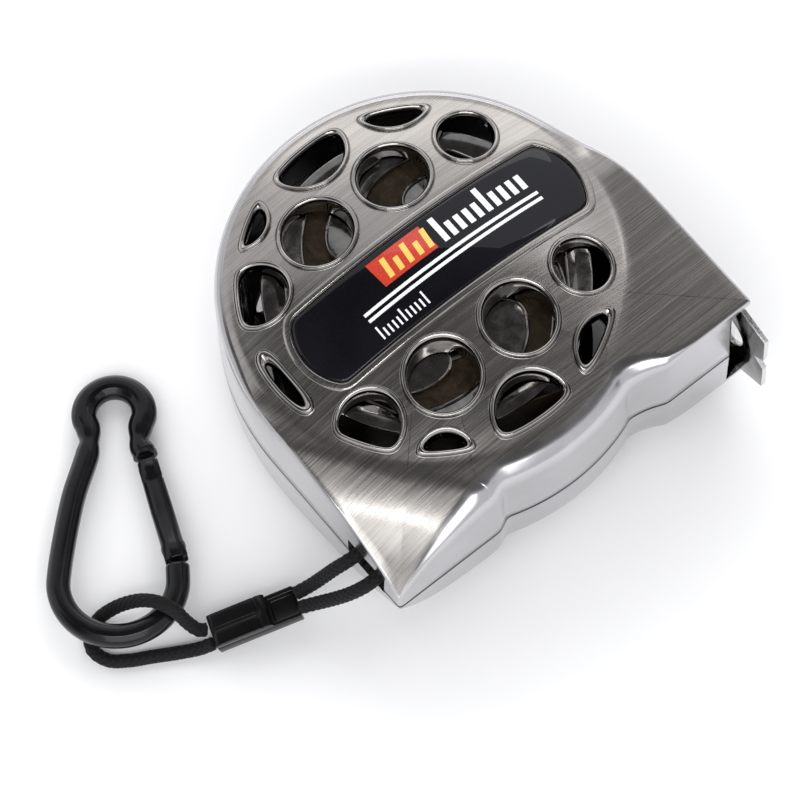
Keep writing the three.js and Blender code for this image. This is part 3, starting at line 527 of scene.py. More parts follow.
def bake_modifiers(piece, sharp=40):
    """The piece with its modifiers applied, as one plain mesh."""
    graph = bpy.context.evaluated_depsgraph_get()
    graph.update()
    plain = bpy.data.meshes.new_from_object(piece.evaluated_get(graph))
    piece.modifiers.clear()
    piece.data = plain
    smooth_by_angle(plain, sharp)


def carve(piece, shape, sharp=40):
    """Takes a closed shape of the drawing away from the piece."""
    cutter = make_piece("cutter", *shape, [piece.data.materials[0]], body=None)
    modifier = piece.modifiers.new("cut", "BOOLEAN")
    modifier.object = cutter
    modifier.operation = "DIFFERENCE"
    modifier.solver = "MANIFOLD"
    bake_modifiers(piece, sharp)
    bpy.data.objects.remove(cutter)


def bevel(piece, width, segments=3, angle=35):
    """Rounds the edges that turn by more than an angle."""
    modifier = piece.modifiers.new("edge", "BEVEL")
    modifier.width = width * MM
    modifier.segments = segments
    modifier.limit_method = "ANGLE"
    modifier.angle_limit = math.radians(angle)
    modifier.use_clamp_overlap = True
    bake_modifiers(piece, 50)


def loft(rings, closed_rows=False, cap_start=False, cap_end=False):
    """Points and faces of a skin through rings of equal count; each ring closes on itself."""
    count = len(rings[0])
    points = [tuple(p) for ring in rings for p in ring]
    faces = []
    rows = len(rings) if closed_rows else len(rings) - 1
    for r in range(rows):
        a, b = r * count, ((r + 1) % len(rings)) * count
        for i in range(count):
            j = (i + 1) % count
            faces.append((a + i, a + j, b + j, b + i))
    if cap_start:
        faces.append(tuple(reversed(range(count))))
    if cap_end:
        last = (len(rings) - 1) * count
        faces.append(tuple(last + i for i in range(count)))
    return points, faces


def merge(*shapes):
    points, faces = [], []
    for more_points, more_faces in shapes:
        start = len(points)
        points += more_points
        faces += [tuple(i + start for i in face) for face in more_faces]
    return points, faces


def prism(outline, low, high):
    """Closed upright prism of an anticlockwise outline."""
    return loft([[(x, y, low) for x, y in outline], [(x, y, high) for x, y in outline]], False, True, True)


def block(x0, x1, y0, y1, z0, z1):
    return prism([(x0, y0), (x1, y0), (x1, y1), (x0, y1)], z0, z1)


def circle(radius, sides, start=0.0):
    turns = (start + 2 * math.pi * i / sides for i in range(sides))
    return [(radius * math.cos(a), radius * math.sin(a)) for a in turns]


def turned(profile, sides, closed=False):
    """Shape turned about Z; profile is [radius, z], closed on itself or capped at its ends."""
    rings = [[(x, y, z) for x, y in circle(r, sides)] for r, z in profile]
    return loft(rings, closed, not closed, not closed)


def placed(shape, matrix):
    points, faces = shape
    return [tuple(matrix @ Vector(p)) for p in points], faces


def soften(points, sigma):
    """Rounds the corners of a closed outline; sigma counts in points."""
    reach = int(3 * sigma) + 1
    weights = np.exp(-0.5 * (np.arange(-reach, reach + 1) / sigma) ** 2)
    weights /= weights.sum()
    p = np.array(points, float)
    return sum(w * np.roll(p, -k, axis=0) for k, w in zip(range(-reach, reach + 1), weights))


def resample(points, spacing):
    """The closed outline again, with points evenly spaced."""
    p = np.vstack([points, points[:1]]).astype(float)
    length = np.concatenate([[0], np.cumsum(np.linalg.norm(np.diff(p, axis=0), axis=1))])
    at = np.linspace(0, length[-1], int(length[-1] / spacing), endpoint=False)
    return np.column_stack([np.interp(at, length, p[:, k]) for k in range(p.shape[1])])


def inset(points, depths):
    """Moves an anticlockwise outline inwards by a depth, or by one depth for each point."""
    p = np.array(points, float)
    edge = np.roll(p, -1, axis=0) - p
    edge /= np.linalg.norm(edge, axis=1)[:, None]
    normal = np.column_stack([edge[:, 1], -edge[:, 0]])
    before = np.roll(normal, 1, axis=0)
    share = 1 + (normal * before).sum(axis=1)
    mitre = (normal + before) / np.maximum(share, 0.6)[:, None]
    return p - mitre * np.broadcast_to(depths, len(p))[:, None]


def bezier(a, b, c, d, count):
    """Points of the cubic curve from a to d."""
    t = np.linspace(0, 1, count + 1)[:, None]
    a, b, c, d = (np.array(v, float) for v in (a, b, c, d))
    return (1 - t) ** 3 * a + 3 * (1 - t) ** 2 * t * b + 3 * (1 - t) * t**2 * c + t**3 * d


# ------------------------------------------------------------------ case shape
def case_outline():
    """The case in plan, anticlockwise from the heel corner, with softly rounded corners."""
    def arc(radius, start, end, count):
        a = np.radians(np.linspace(start, end, count + 1))
        return np.column_stack([radius * np.cos(a), radius * np.sin(a)])

    belly = arc(BELLY_RADIUS, -109.2, -70, 40)
    x, y = belly[-1]
    waist = bezier(
        (x + 1, y + 0.5), (x + 2.65, BASE_Y + 1.6), (x + 4.3, BASE_Y + 1.6), (x + 7.6, BASE_Y), 12,
    )
    brow = bezier(
        (FRONT_X - 0.1, BASE_Y * 0.22), (FRONT_X - 0.7, BASE_Y * 0.05),
        (CASE_RADIUS * 1.02, CASE_RADIUS * 0.12),
        (CASE_RADIUS * math.cos(0.42), CASE_RADIUS * math.sin(0.42)), 24,
    )
    nape = bezier(
        (CASE_RADIUS * math.cos(2.66), CASE_RADIUS * math.sin(2.66)),
        (-CASE_RADIUS * 0.97, CASE_RADIUS * 0.3),
        (BACK_X, CASE_RADIUS * 0.12), (BACK_X, -CASE_RADIUS * 0.12), 24,
    )
    corners = [[BACK_X, BASE_Y], [FACET_BASE_X - 0.6, BASE_Y]]
    nose = [[FRONT_X, BASE_Y], [FRONT_X, BASE_Y * 0.35]]
    whole = np.vstack([corners, belly, waist, nose, brow, arc(CASE_RADIUS, 30, 148, 60), nape])
    return soften(resample(whole, 0.42), 1.3)


OUTLINE = case_outline()


def step(low, high, value):
    """Smooth rise from 0 at low to 1 at high."""
    t = np.clip((np.asarray(value, float) - low) / (high - low), 0, 1)
    return t * t * (3 - 2 * t)


def face_height(x, y, side):
    """Height of a cover's face over the mid-plane, with the creases a little softened."""
    x, y = np.asarray(x, float), np.asarray(y, float)
    r = np.hypot(x, y)
    crown = 1 - (r / PLATEAU) ** 2
    crown = (crown + np.sqrt(crown**2 + 0.02**2)) / 2
    height = SHOULDER + DOME_RISE * crown
    if side < 0:
        height = np.minimum(height, REST)
    height = height - ROUND_DROP * step(-5, 6, y) * np.clip((r - PLATEAU) / (CASE_RADIUS - PLATEAU), 0, 1)
    run = np.array([BACK_X - FACET_BASE_X, FACET_BACK_Y - BASE_Y])
    run /= np.linalg.norm(run)
    past = -run[1] * (x - FACET_BASE_X) + run[0] * (y - BASE_Y)
    t = past / (-run[1] * (BACK_X - FACET_BASE_X))
    t = (t + np.sqrt(t**2 + 0.03**2)) / 2
    fall = SHOULDER - PARTING * side - FACET_EDGE
    return height - fall * (0.46 * t + 0.54 * t**4) * (t > 0.0005)


def edge_radii(outline):
    """Rounding of the rim where face meets wall: wider on the round top, heel edge and belly."""
    x, y = outline[:, 0], outline[:, 1]
    top = 1.0 * step(-2, 10, y)
    base = (np.abs(y - BASE_Y) < 1.0) & (x < FACET_BASE_X - 0.2)
    along = np.clip((x - BACK_X) / (FACET_BASE_X - BACK_X), 0, 1)
    cone = np.where(base, 4.6 * along**1.3 * (1 - step(0.93, 1.0, along)), 0)
    cone = soften(cone[:, None], 2.0)[:, 0]
    # the belly and the waist roll over into the wall; the roll ends before the mouth
    low_side = step(FACET_BASE_X - 2.4, FACET_BASE_X + 0.6, x) * (1 - step(-24, -10, y))
    belly = low_side * 3.4 * (1 - step(14, 28, x))
    return 0.45 + top + cone + belly


def hole_specs():
    """Face holes: circles in rows beside the badge and round the rim, and one slot at its end."""
    band = BADGE_HALF + BORDER + 0.5
    upper = [(-9.8, band + 7.4, 7.4), (6.3, band + 7.4, 7.4), (20.9, band + 6.05, 6.05)]
    # bearing, distance of the centre past the rim circle, radius
    rim = [(148, -4.2, 6.6), (123, 0.6, 5.9), (93, -2.1, 7.9), (61.5, 2.3, 8.3)]
    for degrees, past, radius in rim:
        a, d = math.radians(degrees), HOLE_CLIP + past
        upper.append((d * math.cos(a), d * math.sin(a), radius))
    return upper + [(x, -y, r) for x, y, r in upper] + [None]


def hole_ring(spec, depth, sides=144):
    """Outline of a hole, taken in by a depth: a circle cut off by the rim circle."""
    clip = HOLE_CLIP - depth
    a = np.linspace(0, 2 * math.pi, sides, endpoint=False)
    dx, dy = np.cos(a), np.sin(a)
    if spec is None:
        right, half = END_HOLE[0] - depth, END_HOLE[1] - depth
        px, py = (END_HOLE[0] - HOLE_CLIP) / 2, 0.0
        near = np.where(dx > 1e-6, (right - px) / np.where(dx > 1e-6, dx, 1), np.inf)
        side = np.where(np.abs(dy) > 1e-6, half / np.maximum(np.abs(dy), 1e-6), np.inf)
        reach = np.minimum(near, side)
    else:
        x, y, r = spec
        middle = math.hypot(x, y)
        share = min(middle, (middle - r + HOLE_CLIP) / 2) / middle
        px, py = x * share, y * share
        b = (px - x) * dx + (py - y) * dy
        reach = -b + np.sqrt(b * b + (r - depth) ** 2 - (px - x) ** 2 - (py - y) ** 2)
    b = px * dx + py * dy
    reach = np.minimum(reach, -b + np.sqrt(b * b + clip * clip - px * px - py * py))
    ring = np.column_stack([px + reach * dx, py + reach * dy])
    cut_off = spec is None or math.hypot(spec[0], spec[1]) + spec[2] > HOLE_CLIP
    return soften(ring, 3.2) if cut_off else ring


def raised(ring, lifts, side):
    """A plan outline put on the face of a cover, lifted by an amount."""
    heights = face_height(ring[:, 0], ring[:, 1], side) + lifts
    if side < 0:
        heights = np.minimum(heights, REST - 0.04)
    return np.column_stack([ring, heights])


# Bead round each hole, from its outer edge inwards: [depth into the hole, height over the face]
BEAD_PROFILE = (
    (-0.03, -0.3), (0.0, 0.0), (0.04, -0.14), (0.11, -0.16), (0.17, -0.04), (0.22, 0.08), (0.28, 0.1),
    (0.33, 0.0), (0.38, 0.04), (0.44, 0.28), (0.52, 0.48), (0.61, 0.6), (0.71, 0.64), (0.83, 0.62),
    (0.95, 0.55), (1.07, 0.44), (1.18, 0.28), (1.28, 0.08), (1.37, -0.16), (1.44, -0.42), (1.48, -0.66),
    (1.5, -0.9),
)
SLEEVE_FOOT = 13.95
# The last slot puts the black moulding on each cover's joint edge and inside: painted shade at the seam and
# in the hollow, in place of plating
FACE, RIM, INSIDE_SHADE = 0, 1, 2  # a cover's materials


def bead_and_sleeve(spec, side):
    """One hole's bead and the polished sleeve under it, as a closed ring."""
    rings = [raised(hole_ring(spec, depth), lift, side) for depth, lift in BEAD_PROFILE]
    inner = hole_ring(spec, BEAD)
    top = raised(inner, BEAD_PROFILE[-1][1], side)[:, 2]
    foot = np.minimum(SLEEVE_FOOT, top - 0.5)
    for share in (0.25, 0.5, 0.75, 1.0):
        rings.append(np.column_stack([inner, top + (foot - top) * share]))
    outer = hole_ring(spec, BEAD - 0.35)
    rings.append(np.column_stack([outer, foot]))
    rings.append(np.column_stack([outer, np.maximum(foot + 0.2, raised(outer, -1.6, side)[:, 2])]))
    rings.append(raised(hole_ring(spec, 0.3), -1.0, side))
    return loft(rings, closed_rows=True)


def badge_outline(outset, spacing=0.35):
    """Plan of the badge grown by an outset, with round ends."""
    half, radius = BADGE_HALF + outset, BADGE_END + outset
    swing = math.asin(half / radius)
    points = []
    for centre, turn in ((BADGE_RIGHT - BADGE_END, 0), (BADGE_LEFT + BADGE_END, math.pi)):
        for a in np.linspace(turn - swing, turn + swing, 41):
            points.append((centre + radius * math.cos(a), radius * math.sin(a)))
    return soften(resample(np.array(points), spacing), 1.6 / spacing * 0.62)


def mirrored(shape):
    """The shape turned over through the mid-plane."""
    points, faces = shape
    return [(x, y, -z) for x, y, z in points], faces


def cover_shell(side):
    """Closed shell of one cover: face, rounded rim, wall, joint edge and inside."""
    low = PARTING * side + SEAM / 2
    edge = edge_radii(OUTLINE)
    rim = inset(OUTLINE, DRAFT + edge)
    radius = np.hypot(rim[:, 0], rim[:, 1])
    plateau = np.minimum(PLATEAU, radius) / radius
    rings, kinds = [], []

    def lay(kind, ring, heights):
        rings.append(np.column_stack([ring, np.broadcast_to(heights, len(ring))]))
        kinds.append(kind)

    for share in np.linspace(0.02, 1, 44):
        rings.append(raised(rim * (plateau * share)[:, None], 0, side))
        kinds.append(FACE)
    for share in (0.08, 0.18, 0.3, 0.45, 0.6, 0.75, 0.9, 1.0):
        ring = rim * (plateau + (1 - plateau) * share)[:, None]
        lay(FACE, ring, face_height(ring[:, 0], ring[:, 1], side))
    face_edge = rings[-1][:, 2]
    drop = np.minimum(edge, 0.5 * (face_edge - low))
    for degrees in (12, 26, 42, 58, 74, 90):
        a = math.radians(degrees)
        lay(RIM, inset(OUTLINE, DRAFT + edge * (1 - math.sin(a))), face_edge - drop * (1 - math.cos(a)))
    wall_top = face_edge - drop
    for share in (0.2, 0.4, 0.6, 0.8, 1.0):
        lay(RIM, inset(OUTLINE, DRAFT * (1 - share)), wall_top + (low + 0.16 - wall_top) * share)
    # joint edge and inside: black moulding as painted shade
    for depth, lift in ((0.05, 0.05), (0.16, 0.0), (WALL, 0.0)):
        lay(INSIDE_SHADE, inset(OUTLINE, depth), low + lift)
    inner = inset(OUTLINE, WALL)
    depth_in = np.maximum(low + 0.3, face_height(inner[:, 0], inner[:, 1], side) - FACE_WALL)
    for share in (0.5, 1.0):
        lay(INSIDE_SHADE, inner, low + (depth_in - low) * share)
    for share in (0.9, 0.78, 0.64, 0.5, 0.36, 0.2, 0.02):
        ring = inner * share
        inside = face_height(ring[:, 0], ring[:, 1], side) - FACE_WALL
        lay(INSIDE_SHADE, ring, np.maximum(low + 0.3, inside))
    points, faces = loft(rings, False, True, True)
    slots = [kind for kind in kinds[1:] for _ in OUTLINE] + [FACE, INSIDE_SHADE]
    return points, faces, slots


def cutters(side):
    """Prisms for the holes, the badge seat, the blade's mouth and the strap slot."""
    shapes = [prism(hole_ring(spec, BEAD - 0.3), 12.0, 24.0) for spec in hole_specs()]
    shapes.append(block(MOUTH_X, FRONT_X + 5, BASE_Y - 5, MOUTH_TOP, -MOUTH_HALF, MOUTH_HALF))
    z = SLOT_Z * side
    shapes.append(block(
        BACK_X - 5, BACK_X + WALL + 0.6, PIN[1] - SLOT_HALF[0], PIN[1] + SLOT_HALF[0],
        z - SLOT_HALF[1], z + SLOT_HALF[1],
    ))
    return shapes


def badge_seat():
    """Cutter for the recess that the badge lies in."""
    ring = badge_outline(-0.02)
    centre = ring.mean(axis=0)
    floor = [centre + (ring - centre) * share for share in np.linspace(0.03, 1, 24)]
    rings = [np.column_stack([r, face_height(r[:, 0], r[:, 1], 1) - 0.6]) for r in floor]
    rings.append(np.column_stack([ring, np.full(len(ring), 24.0)]))
    return loft(rings, False, True, True)


def make_cover(name, side, stands_for):
    """One cover with its holes, mouth and strap slot cut out, and in front the badge's seat."""
    points, faces, slots = cover_shell(side)
    tools = cutters(side)
    if side < 0:
        points, faces = mirrored((points, faces))
        tools = [mirrored(t) for t in tools]
    # the black moulding in the third slot is painted shade on the joint edge and inside
    cover = make_piece(name, points, faces, [BRUSHED, SATIN, PLASTIC], slots, body=None)
    carve(cover, merge(*tools), 38)
    if side > 0:
        carve(cover, badge_seat(), 38)
    settle(cover, "case", stands_for)


def make_beads(name, side):
    """The bead and sleeve of every hole in one cover."""
    shape = merge(*[bead_and_sleeve(spec, side) for spec in hole_specs()])
    if side < 0:
        shape = mirrored(shape)
    make_piece(name, *shape, [POLISHED], sharp=60, slot="plated_case")


# Border round the badge, from its outer edge inwards: [outset from the badge, height over the face]
BORDER_PROFILE = (
    (1.44, -0.3), (1.42, -0.02), (1.38, 0.12), (1.3, 0.27), (1.2, 0.35), (1.08, 0.385), (0.9, 0.4),
    (0.45, 0.4), (0.3, 0.38), (0.2, 0.31), (0.12, 0.18), (0.07, 0.0), (0.04, -0.45), (0.5, -0.9), (1.1, -0.8),
)


def make_border():
    """Raised border round the badge, polished but for its brushed flat top."""
    middle = BORDER / 2
    base = badge_outline(middle)
    rings = [raised(inset(base, middle - outset), lift, 1) for outset, lift in BORDER_PROFILE]
    points, faces = loft(rings, closed_rows=True)
    slots = []
    for r in range(len(rings)):
        slots += [1 if r in (5, 6) else 0] * len(base)
    make_piece("badge_border", points, faces, [POLISHED, BRUSHED], slots, sharp=60, slot="plated_case")


def make_badge():
    """Low domed resin badge in the seat inside the border."""
    base = badge_outline(-0.12)
    centre = np.array([(BADGE_LEFT + BADGE_RIGHT) / 2, 0.0])
    rings = []
    for depth, lift in ((0.0, -0.5), (0.0, -0.15), (0.05, 0.0), (0.15, 0.1),
                        (0.32, 0.16), (0.6, 0.2), (1.0, 0.225), (1.6, 0.235)):
        rings.append(raised(inset(base, depth), lift, 1))
    last = inset(base, 1.6)
    for share in np.linspace(0.96, 0.03, 34):
        rings.append(raised(centre + (last - centre) * share, 0.235, 1))
    under = [raised(centre + (base - centre) * share, -0.5, 1) for share in np.linspace(0.03, 0.97, 12)]
    points, faces = loft(under + rings, False, True, True)
    make_piece("gloss_badge", points, faces, [BADGE], sharp=60, slot="badge", stands_for=("front_badge",))


def ink_patch(outline, lift=0.26, thickness=0.04):
    """Thin closed layer of print on the badge, over a small convex outline."""
    ring = np.array(outline, float)
    centre = ring.mean(axis=0)
    sizes = np.ptp(ring, axis=0)
    sides = zip(ring, np.roll(ring, -1, axis=0))
    dense = np.vstack([a + (b - a) * np.linspace(0, 1, 12, endpoint=False)[:, None] for a, b in sides])
    shares = np.linspace(0.05, 1, max(3, int(sizes.max() / 1.5)))
    top = [raised(centre + (dense - centre) * s, lift, 1) for s in shares]
    bottom = [raised(centre + (dense - centre) * s, lift - thickness, 1) for s in shares]
    return loft(bottom + top[::-1], False, True, True)


def slanted(x0, x1, y0, y1, lean=0.0):
    """Corners of a bar that leans over as it rises."""
    return [(x0 + lean * y0, y0), (x1 + lean * y0, y0), (x1 + lean * y1, y1), (x0 + lean * y1, y1)]


def make_print():
    """Generic print: a red block with amber bars and two white stripes."""
    make_piece("red_block", *ink_patch(slanted(-7.6, 3.6, 0.9, 6.1, -0.06)), [RED_INK], slot="badge")
    bars = []
    for i, (low, high) in enumerate(((1.6, 5.4), (1.6, 4.2), (1.6, 5.4), (1.6, 4.2), (1.6, 5.4))):
        x = -6.3 + i * 2.1
        bars.append(ink_patch(slanted(x, x + 1.0, low, high, 0.12), 0.28))
    make_piece("amber_bars", *merge(*bars), [AMBER_INK], slot="badge")
    stripes = [ink_patch(slanted(-13.6, 23.4, y - 0.3, y + 0.3)) for y in (-0.75, -2.0)]
    make_piece("white_stripes", *merge(*stripes), [WHITE_INK], slot="badge")


# ------------------------------------------------------------------ geometry nodes
class NodeTree:
    """A geometry node tree under construction."""

    def __init__(self, name, **sizes):
        self.tree = bpy.data.node_groups.new(name, "GeometryNodeTree")
        face = self.tree.interface
        face.new_socket("Geometry", in_out="INPUT", socket_type="NodeSocketGeometry")
        face.new_socket("Geometry", in_out="OUTPUT", socket_type="NodeSocketGeometry")
        kinds = {float: "NodeSocketFloat", int: "NodeSocketInt", "material": "NodeSocketMaterial"}
        self.sockets = {}
        for key, kind in sizes.items():
            self.sockets[key] = face.new_socket(key, in_out="INPUT", socket_type=kinds[kind]).identifier
        self.start = self.tree.nodes.new("NodeGroupInput")
        self.end = self.tree.nodes.new("NodeGroupOutput")

    def input(self, key):
        return self.start.outputs[key]

    def node(self, kind, values=None, **settings):
        made = self.tree.nodes.new(kind)
        for key, value in settings.items():
            setattr(made, key, value)
        for key, value in (values or {}).items():
            socket = made.inputs[key]
            if isinstance(value, bpy.types.NodeSocket):
                self.tree.links.new(value, socket)
            else:
                socket.default_value = value
        return made

    def math(self, operation, a, b=0.0):
        return self.node("ShaderNodeMath", {0: a, 1: b}, operation=operation).outputs[0]

    def finish(self, geometry, material):
        real = self.node("GeometryNodeRealizeInstances", {"Geometry": geometry}).outputs[0]
        done = self.node("GeometryNodeSetMaterial", {"Geometry": real, "Material": material}).outputs[0]
        self.tree.links.new(done, self.end.inputs[0])

    def grow(self, name, base, body, slot, stands_for=(), sharp=40, **values):
        """The plain piece that the tree makes from a base mesh."""
        piece = in_scene(name, base)
        modifier = piece.modifiers.new("nodes", "NODES")
        modifier.node_group = self.tree
        for key, value in values.items():
            modifier[self.sockets[key]] = value
        bake_modifiers(piece, sharp)
        settle(piece, body, stands_for)


def base_mesh(name, points, faces):
    """A mesh of the drawing for a geometry node tree to work on."""
    mesh = bpy.data.meshes.new(name)
    mesh.from_pydata(in_metres(points), [], faces)
    face_outward(mesh)
    return mesh


def seed():
    """A single point, for a tree that makes its own geometry."""
    return base_mesh("seed", [(0, 0, 0)], [])


def winding_tree():
    """Strip wound in a flat spiral, standing on edge across the reel."""
    t = NodeTree(
        "winding", Turns=float, Inner=float, Outer=float, Half=float, Strip=float, Material="material",
    )
    spiral = t.node("GeometryNodeCurveSpiral", {
        "Resolution": 56, "Rotations": t.input("Turns"), "Start Radius": t.input("Inner"),
        "End Radius": t.input("Outer"), "Height": 0.0,
    }).outputs[0]
    width = t.math("MULTIPLY", t.input("Half"), 2.0)
    section = t.node("GeometryNodeCurvePrimitiveQuadrilateral", {
        "Width": t.input("Strip"), "Height": width,
    }).outputs[0]
    upright = t.node("GeometryNodeSetCurveNormal", {"Curve": spiral})
    upright.mode = "Z_UP"
    mesh = t.node("GeometryNodeCurveToMesh", {
        "Curve": upright.outputs[0], "Profile Curve": section, "Fill Caps": True,
    }).outputs[0]
    lifted = t.node("GeometryNodeTransform", {"Geometry": mesh, "Translation": (0, 0, MID * MM)}).outputs[0]
    t.finish(lifted, t.input("Material"))
    return t


def tick_tree():
    """A row of graduation ticks laid on the badge's dome, a longer one each fifth."""
    t = NodeTree(
        "ticks", Count=int, Pitch=float, Left=float, Foot=float, Short=float, Long=float, Line=float,
        Material="material",
    )
    line = t.node("GeometryNodeMeshLine", {"Count": t.input("Count")}, mode="OFFSET")
    start = t.node("ShaderNodeCombineXYZ", {"X": t.input("Left"), "Y": t.input("Foot")}).outputs[0]
    pitch = t.node("ShaderNodeCombineXYZ", {"X": t.input("Pitch")}).outputs[0]
    t.tree.links.new(start, line.inputs["Start Location"])
    t.tree.links.new(pitch, line.inputs["Offset"])
    index = t.node("GeometryNodeInputIndex").outputs[0]
    fifth = t.math("LESS_THAN", t.math("MODULO", index, 5.0), 0.5)
    reach = t.node("ShaderNodeMix", {
        "Factor": fifth, 2: t.input("Short"), 3: t.input("Long"),
    }).outputs[0]
    size = t.node("ShaderNodeCombineXYZ", {"X": t.input("Line"), "Y": reach, "Z": 0.03 * MM}).outputs[0]
    bar = t.node("GeometryNodeMeshCube", {
        "Size": (1, 1, 1), "Vertices X": 2, "Vertices Y": 7, "Vertices Z": 2,
    }).outputs[0]
    bar = t.node("GeometryNodeTransform", {"Geometry": bar, "Translation": (0, 0.5, 0)}).outputs[0]
    row = t.node("GeometryNodeInstanceOnPoints", {
        "Points": line.outputs[0], "Instance": bar, "Scale": size,
    }).outputs[0]
    real = t.node("GeometryNodeRealizeInstances", {"Geometry": row}).outputs[0]
    place = t.node("GeometryNodeInputPosition").outputs[0]
    parts = t.node("ShaderNodeSeparateXYZ", {0: place})
    squared = t.math("ADD", t.math("POWER", parts.outputs[0], 2.0), t.math("POWER", parts.outputs[1], 2.0))
    fall = t.math("MULTIPLY", squared, -DOME_RISE / (PLATEAU**2 * MM))
    lift = t.math("ADD", fall, (MID + SHOULDER + DOME_RISE + 0.25) * MM)
    offset = t.node("ShaderNodeCombineXYZ", {"Z": lift}).outputs[0]
    laid = t.node("GeometryNodeSetPosition", {"Geometry": real, "Offset": offset}).outputs[0]
    t.finish(laid, t.input("Material"))
    return t


def round_tree():
    """Copies of a piece turned about the reel axis by equal steps."""
    t = NodeTree("round_the_axis", Count=int, Material="material")
    points = t.node("GeometryNodeMeshLine", {
        "Count": t.input("Count"), "Offset": (0, 0, 0),
    }, mode="OFFSET").outputs[0]
    index = t.node("GeometryNodeInputIndex").outputs[0]
    share = t.math("DIVIDE", t.math("MULTIPLY", index, 2 * math.pi), t.input("Count"))
    turn = t.node("ShaderNodeCombineXYZ", {"Z": share}).outputs[0]
    copies = t.node("GeometryNodeInstanceOnPoints", {
        "Points": points, "Instance": t.input("Geometry"), "Rotation": turn,
    }).outputs[0]
    t.finish(copies, t.input("Material"))
    return t


def scatter_tree():
    """A copy of the base piece at each screw place."""
    t = NodeTree("at_places", Material="material")
    merged = None
    for x, y in SCREW_PLACES:
        moved = t.node("GeometryNodeTransform", {
            "Geometry": t.input("Geometry"), "Translation": (x * MM, y * MM, 0),
        }).outputs[0]
        merged = merged or t.node("GeometryNodeJoinGeometry")
        t.tree.links.new(moved, merged.inputs[0])
    t.finish(merged.outputs[0], t.input("Material"))
    return t


# ------------------------------------------------------------------ reel
def swirl_window(count=18):
    """Tadpole-shaped window between two spokes of a flange, about the reel axis."""
    inner, outer = HUB_RADIUS - 4.2, FLANGE_RADIUS - 3.4
    first, second = [], []
    for share in np.linspace(0, 1, count):
        r = inner + (outer - inner) * share
        lead = 0.5 * math.sin(math.pi * share) - 0.9 * share
        trail = lead + 0.3 + 0.3 * share
        first.append((r * math.cos(lead), r * math.sin(lead)))
        second.append((r * math.cos(trail), r * math.sin(trail)))
    return soften(resample(np.array(first + second[::-1]), 0.5), 2.0)


def make_flange(name, side):
    """Dished polished plate with swept windows and a stepped rim."""
    inner, outer = FLANGE_FACE
    bore, edge = 3.6, FLANGE_RADIUS
    disc = turned([
        (bore, outer - 0.05), (bore + 0.2, outer), (11.0, outer), (HUB_RADIUS, outer - 0.06),
        (15.2, outer - 0.25), (24.2, outer - 0.32), (24.9, outer - 0.12), (25.3, outer),
        (edge - 0.4, outer), (edge - 0.1, outer - 0.1), (edge, outer - 0.3), (edge, inner + 0.2),
        (edge - 0.2, inner), (bore, inner),
    ], 160, closed=True)
    window = prism(swirl_window(), inner - 1, outer + 1)
    turns = [Matrix.Rotation(2 * math.pi / WINDOWS * i, 4, "Z") for i in range(WINDOWS)]
    windows = merge(*[placed(window, turn) for turn in turns])
    if side < 0:
        disc, windows = mirrored(disc), mirrored(windows)
    plate = make_piece(name + "_plate", *disc, [FLANGE_PLATE], body=None)
    carve(plate, windows, 30)
    bevel(plate, 0.16, 2, 45)
    settle(plate, "reel", (name,))


def make_window_lips(side):
    """Rolled lip round each window of a flange, copied round the axis."""
    top = FLANGE_FACE[1] - 0.3
    edge = swirl_window()
    rings = []
    for a in np.linspace(0, 2 * math.pi, 8, endpoint=False):
        ring = inset(edge, 0.3 * math.cos(a) - 0.2)
        rings.append(np.column_stack([ring, np.full(len(ring), (top + 0.3 * math.sin(a)) * side)]))
    mesh = base_mesh("window_lip", *loft(rings, closed_rows=True))
    name = "window_lips_front" if side > 0 else "window_lips_rear"
    ROUND.grow(name, mesh, "reel", "dark_plate", Count=WINDOWS, Material=FLANGE_PLATE)


def make_hub():
    """Drum with a rounded lip at each end."""
    top = FLANGE_FACE[0] - 0.3
    upper = [(HUB_RADIUS, top - 0.5), (HUB_RADIUS - 0.4, top - 0.3), (HUB_RADIUS - 0.6, top), (13.0, top)]
    lower = [(r, -z) for r, z in reversed(upper)]
    make_piece(
        "drum", *turned(lower + upper, 96, closed=True), [PLASTIC], body="reel", slot="black_plastic",
        stands_for=("reel_hub",),
    )


def make_windings():
    """The wound blade on the drum and the return spring inside it."""
    tree = winding_tree()
    point = seed()
    # the coil's dark finish is partly painted shade inside the case
    tree.grow(
        "wound_blade", point, "reel", "blade_coat", ("tape_coil",), 30, Turns=BLADE_TURNS,
        Inner=(HUB_RADIUS + 0.45) * MM, Outer=(COIL_RADIUS - 0.15) * MM, Half=BLADE_HALF * MM,
        Strip=0.13 * MM, Material=COIL_EDGE_SHADE,
    )
    tree.grow(
        "return_spring", point, "reel", "steel", ("main_spring",), 30, Turns=SPRING_TURNS,
        Inner=4.2 * MM, Outer=12.4 * MM, Half=11.4 * MM, Strip=0.3 * MM, Material=SPRING,
    )


# ------------------------------------------------------------------ case hardware
def make_screws():
    """Pan head screws with a cross recess, all four made as one set."""
    top = 0.6 - SHOULDER
    crest, root, pitch, threads = 1.1, 0.86, 0.8, 26
    profile = [
        (0.02, top), (1.45, top), (1.75, top + 0.12), (1.93, top + 0.32), (2.0, top + 0.6), (2.0, top + 1.3),
        (crest, top + 1.3),
    ]
    for i in range(threads):
        z = top + 1.6 + i * pitch
        profile += [(crest, z), (root, z + pitch / 2)]
    profile.append((0.02, SHOULDER - 4.6))
    screw = make_piece("screw", *turned(profile, 32), [STEEL], body=None)
    for x, y in ((1.15, 0.24), (0.24, 1.15)):
        carve(screw, block(-x, x, -y, y, top - 1, top + 0.75))
    mesh = screw.data
    bpy.data.objects.remove(screw)
    scatter_tree().grow(
        "case_screws", mesh, "case", "steel", [f"case_screw_{i}" for i in (1, 2, 3, 4)], Material=STEEL,
    )


# ------------------------------------------------------------------ hook
def edgewise(shape):
    """Turns a shape drawn flat, [Y, Z, X], into place across the blade."""
    points, faces = shape
    return [(z, x, y) for x, y, z in points], faces


